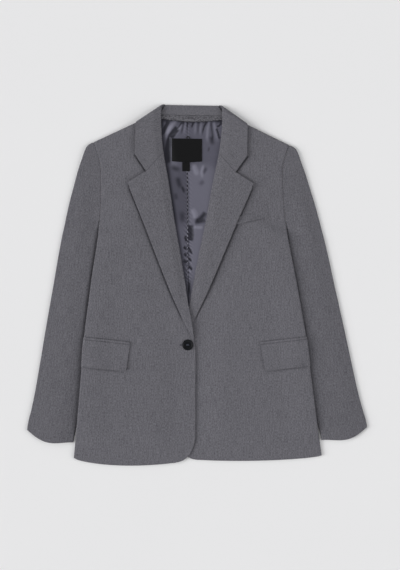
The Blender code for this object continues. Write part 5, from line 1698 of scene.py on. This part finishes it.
studio = {
    "floor": "#e9e9ea", "floorSize": 9.0, "floorZ": -0.0003, "world": 0.11,
    "floorGrain": 3.0, "floorShades": (0.99, 1.01), "floorRoughness": 0.95, "floorSpecular": 0.1,
    "banks": [  # wide soft banks of light: name, share of the light, from (turn, height), width
        ("left", 0.33, (184, 25), 34),
        ("right", 0.22, (-8, 27), 38),
        ("high", 0.13, (178, 56), 70),
        ("head", 0.07, (96, 40), 50),
        ("foot", 0.11, (268, 46), 50),
    ],
    "height": 2.406, "frameTall": 1.197, "level": 0.006, "aim": (0.0061, -0.0002), "sensor": 36.0,
}


def makeStudio():
    # matt painted board, pale grey, with the faintest unevenness
    paint, tree = newMaterial("paintedBoard")
    where = addNode(tree, "ShaderNodeTexCoord")
    grain = addNode(tree, "ShaderNodeTexNoise", {
        "Vector": where.outputs["Object"], "Scale": studio["floorGrain"]})
    shades = [toLinear(studio["floor"], share) for share in studio["floorShades"]]
    colour = addNode(tree, "ShaderNodeMix", {
        "Factor": grain, colourA: shades[0], colourB: shades[1]}, data_type="RGBA")
    finishMaterial(paint, {
        "Base Color": colour, "Roughness": studio["floorRoughness"],
        "Specular IOR Level": studio["floorSpecular"]})
    mesh = bpy.data.meshes.new("floor")
    half = studio["floorSize"] / 2
    corners = [(-half, -half), (half, -half), (half, half), (-half, half)]
    mesh.from_pydata([(x, y, studio["floorZ"]) for x, y in corners], [], [[0, 1, 2, 3]])
    mesh.materials.append(paint)
    addObject("floor", mesh)

    world = bpy.data.worlds.new("studio")
    world.use_nodes = True
    sky = world.node_tree.nodes["Background"].inputs
    sky["Color"].default_value = (1.0, 1.0, 1.0, 1.0)
    sky["Strength"].default_value = studio["world"]
    bpy.context.scene.world = world
    for name, share, (turn, tall), width in studio["banks"]:
        lamp = bpy.data.lights.new(name, "SUN")
        lamp.energy = share * math.pi / math.sin(math.radians(tall))
        lamp.angle = math.radians(width)
        lit = addObject(name, lamp)
        lit.rotation_euler = (0.0, math.radians(90 - tall), math.radians(turn))

    camera = bpy.data.cameras.new("camera")
    camera.sensor_width = studio["sensor"]
    camera.lens = studio["sensor"] * (studio["height"] - studio["level"]) / studio["frameTall"]
    seen = addObject("camera", camera)
    seen.location = (*studio["aim"], studio["height"])
    bpy.context.scene.camera = seen
    bpy.context.scene.view_settings.view_transform = "Standard"


shift = findShift()
suiting = makeSuiting("suitingTwill", suitingSpec)
shadedSleeveSuiting = makeSuiting("sleeveTwillPaintedShade", suitingSpec, 0.93)  # painted shade: a darker copy of the suiting for the sleeves
facingSuiting = makeSuiting("facingTwill", {**suitingSpec, "streakMm": (1.7, 20.0)}, 0.98)
standSuiting = makeSuiting("standTwill", {
    **suitingSpec, "streakMm": (2.8, 30.0), "even": 0.18}, 0.79)
satin = makeSatin(satinSpec)
tapeWeave = makeTapeWeave(tapeSpec)
resin = makeResin(resinSpec)
loopThread, blackThread, seamThread, holeThread, buttonThread = map(makeThread, threadColours)
stitches = stitchTree()
print("blazer: materials made")

makeStudio()
for side in (right, left):
    makeBack(side)
    makeFront(side)
    makeSleeve(side)
    print("blazer: panels of the wearer's", sideName[side])
for side in (right, left):
    makeLapel(side)
    makePocket(side)
    makeLining(side)
makeCollar()
makeStand()
makeBreastWelt()
print("blazer: lapels, collar, pockets and lining")
makeTapePiece("label", label)
makeTapePiece("size_tab", sizeTab)
makeLoop()
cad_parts["button"].data.materials.clear()
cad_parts["button"].data.materials.append(resin)
makeButtonThread()
makeStitches()
print("blazer: label, loop, button and stitches")
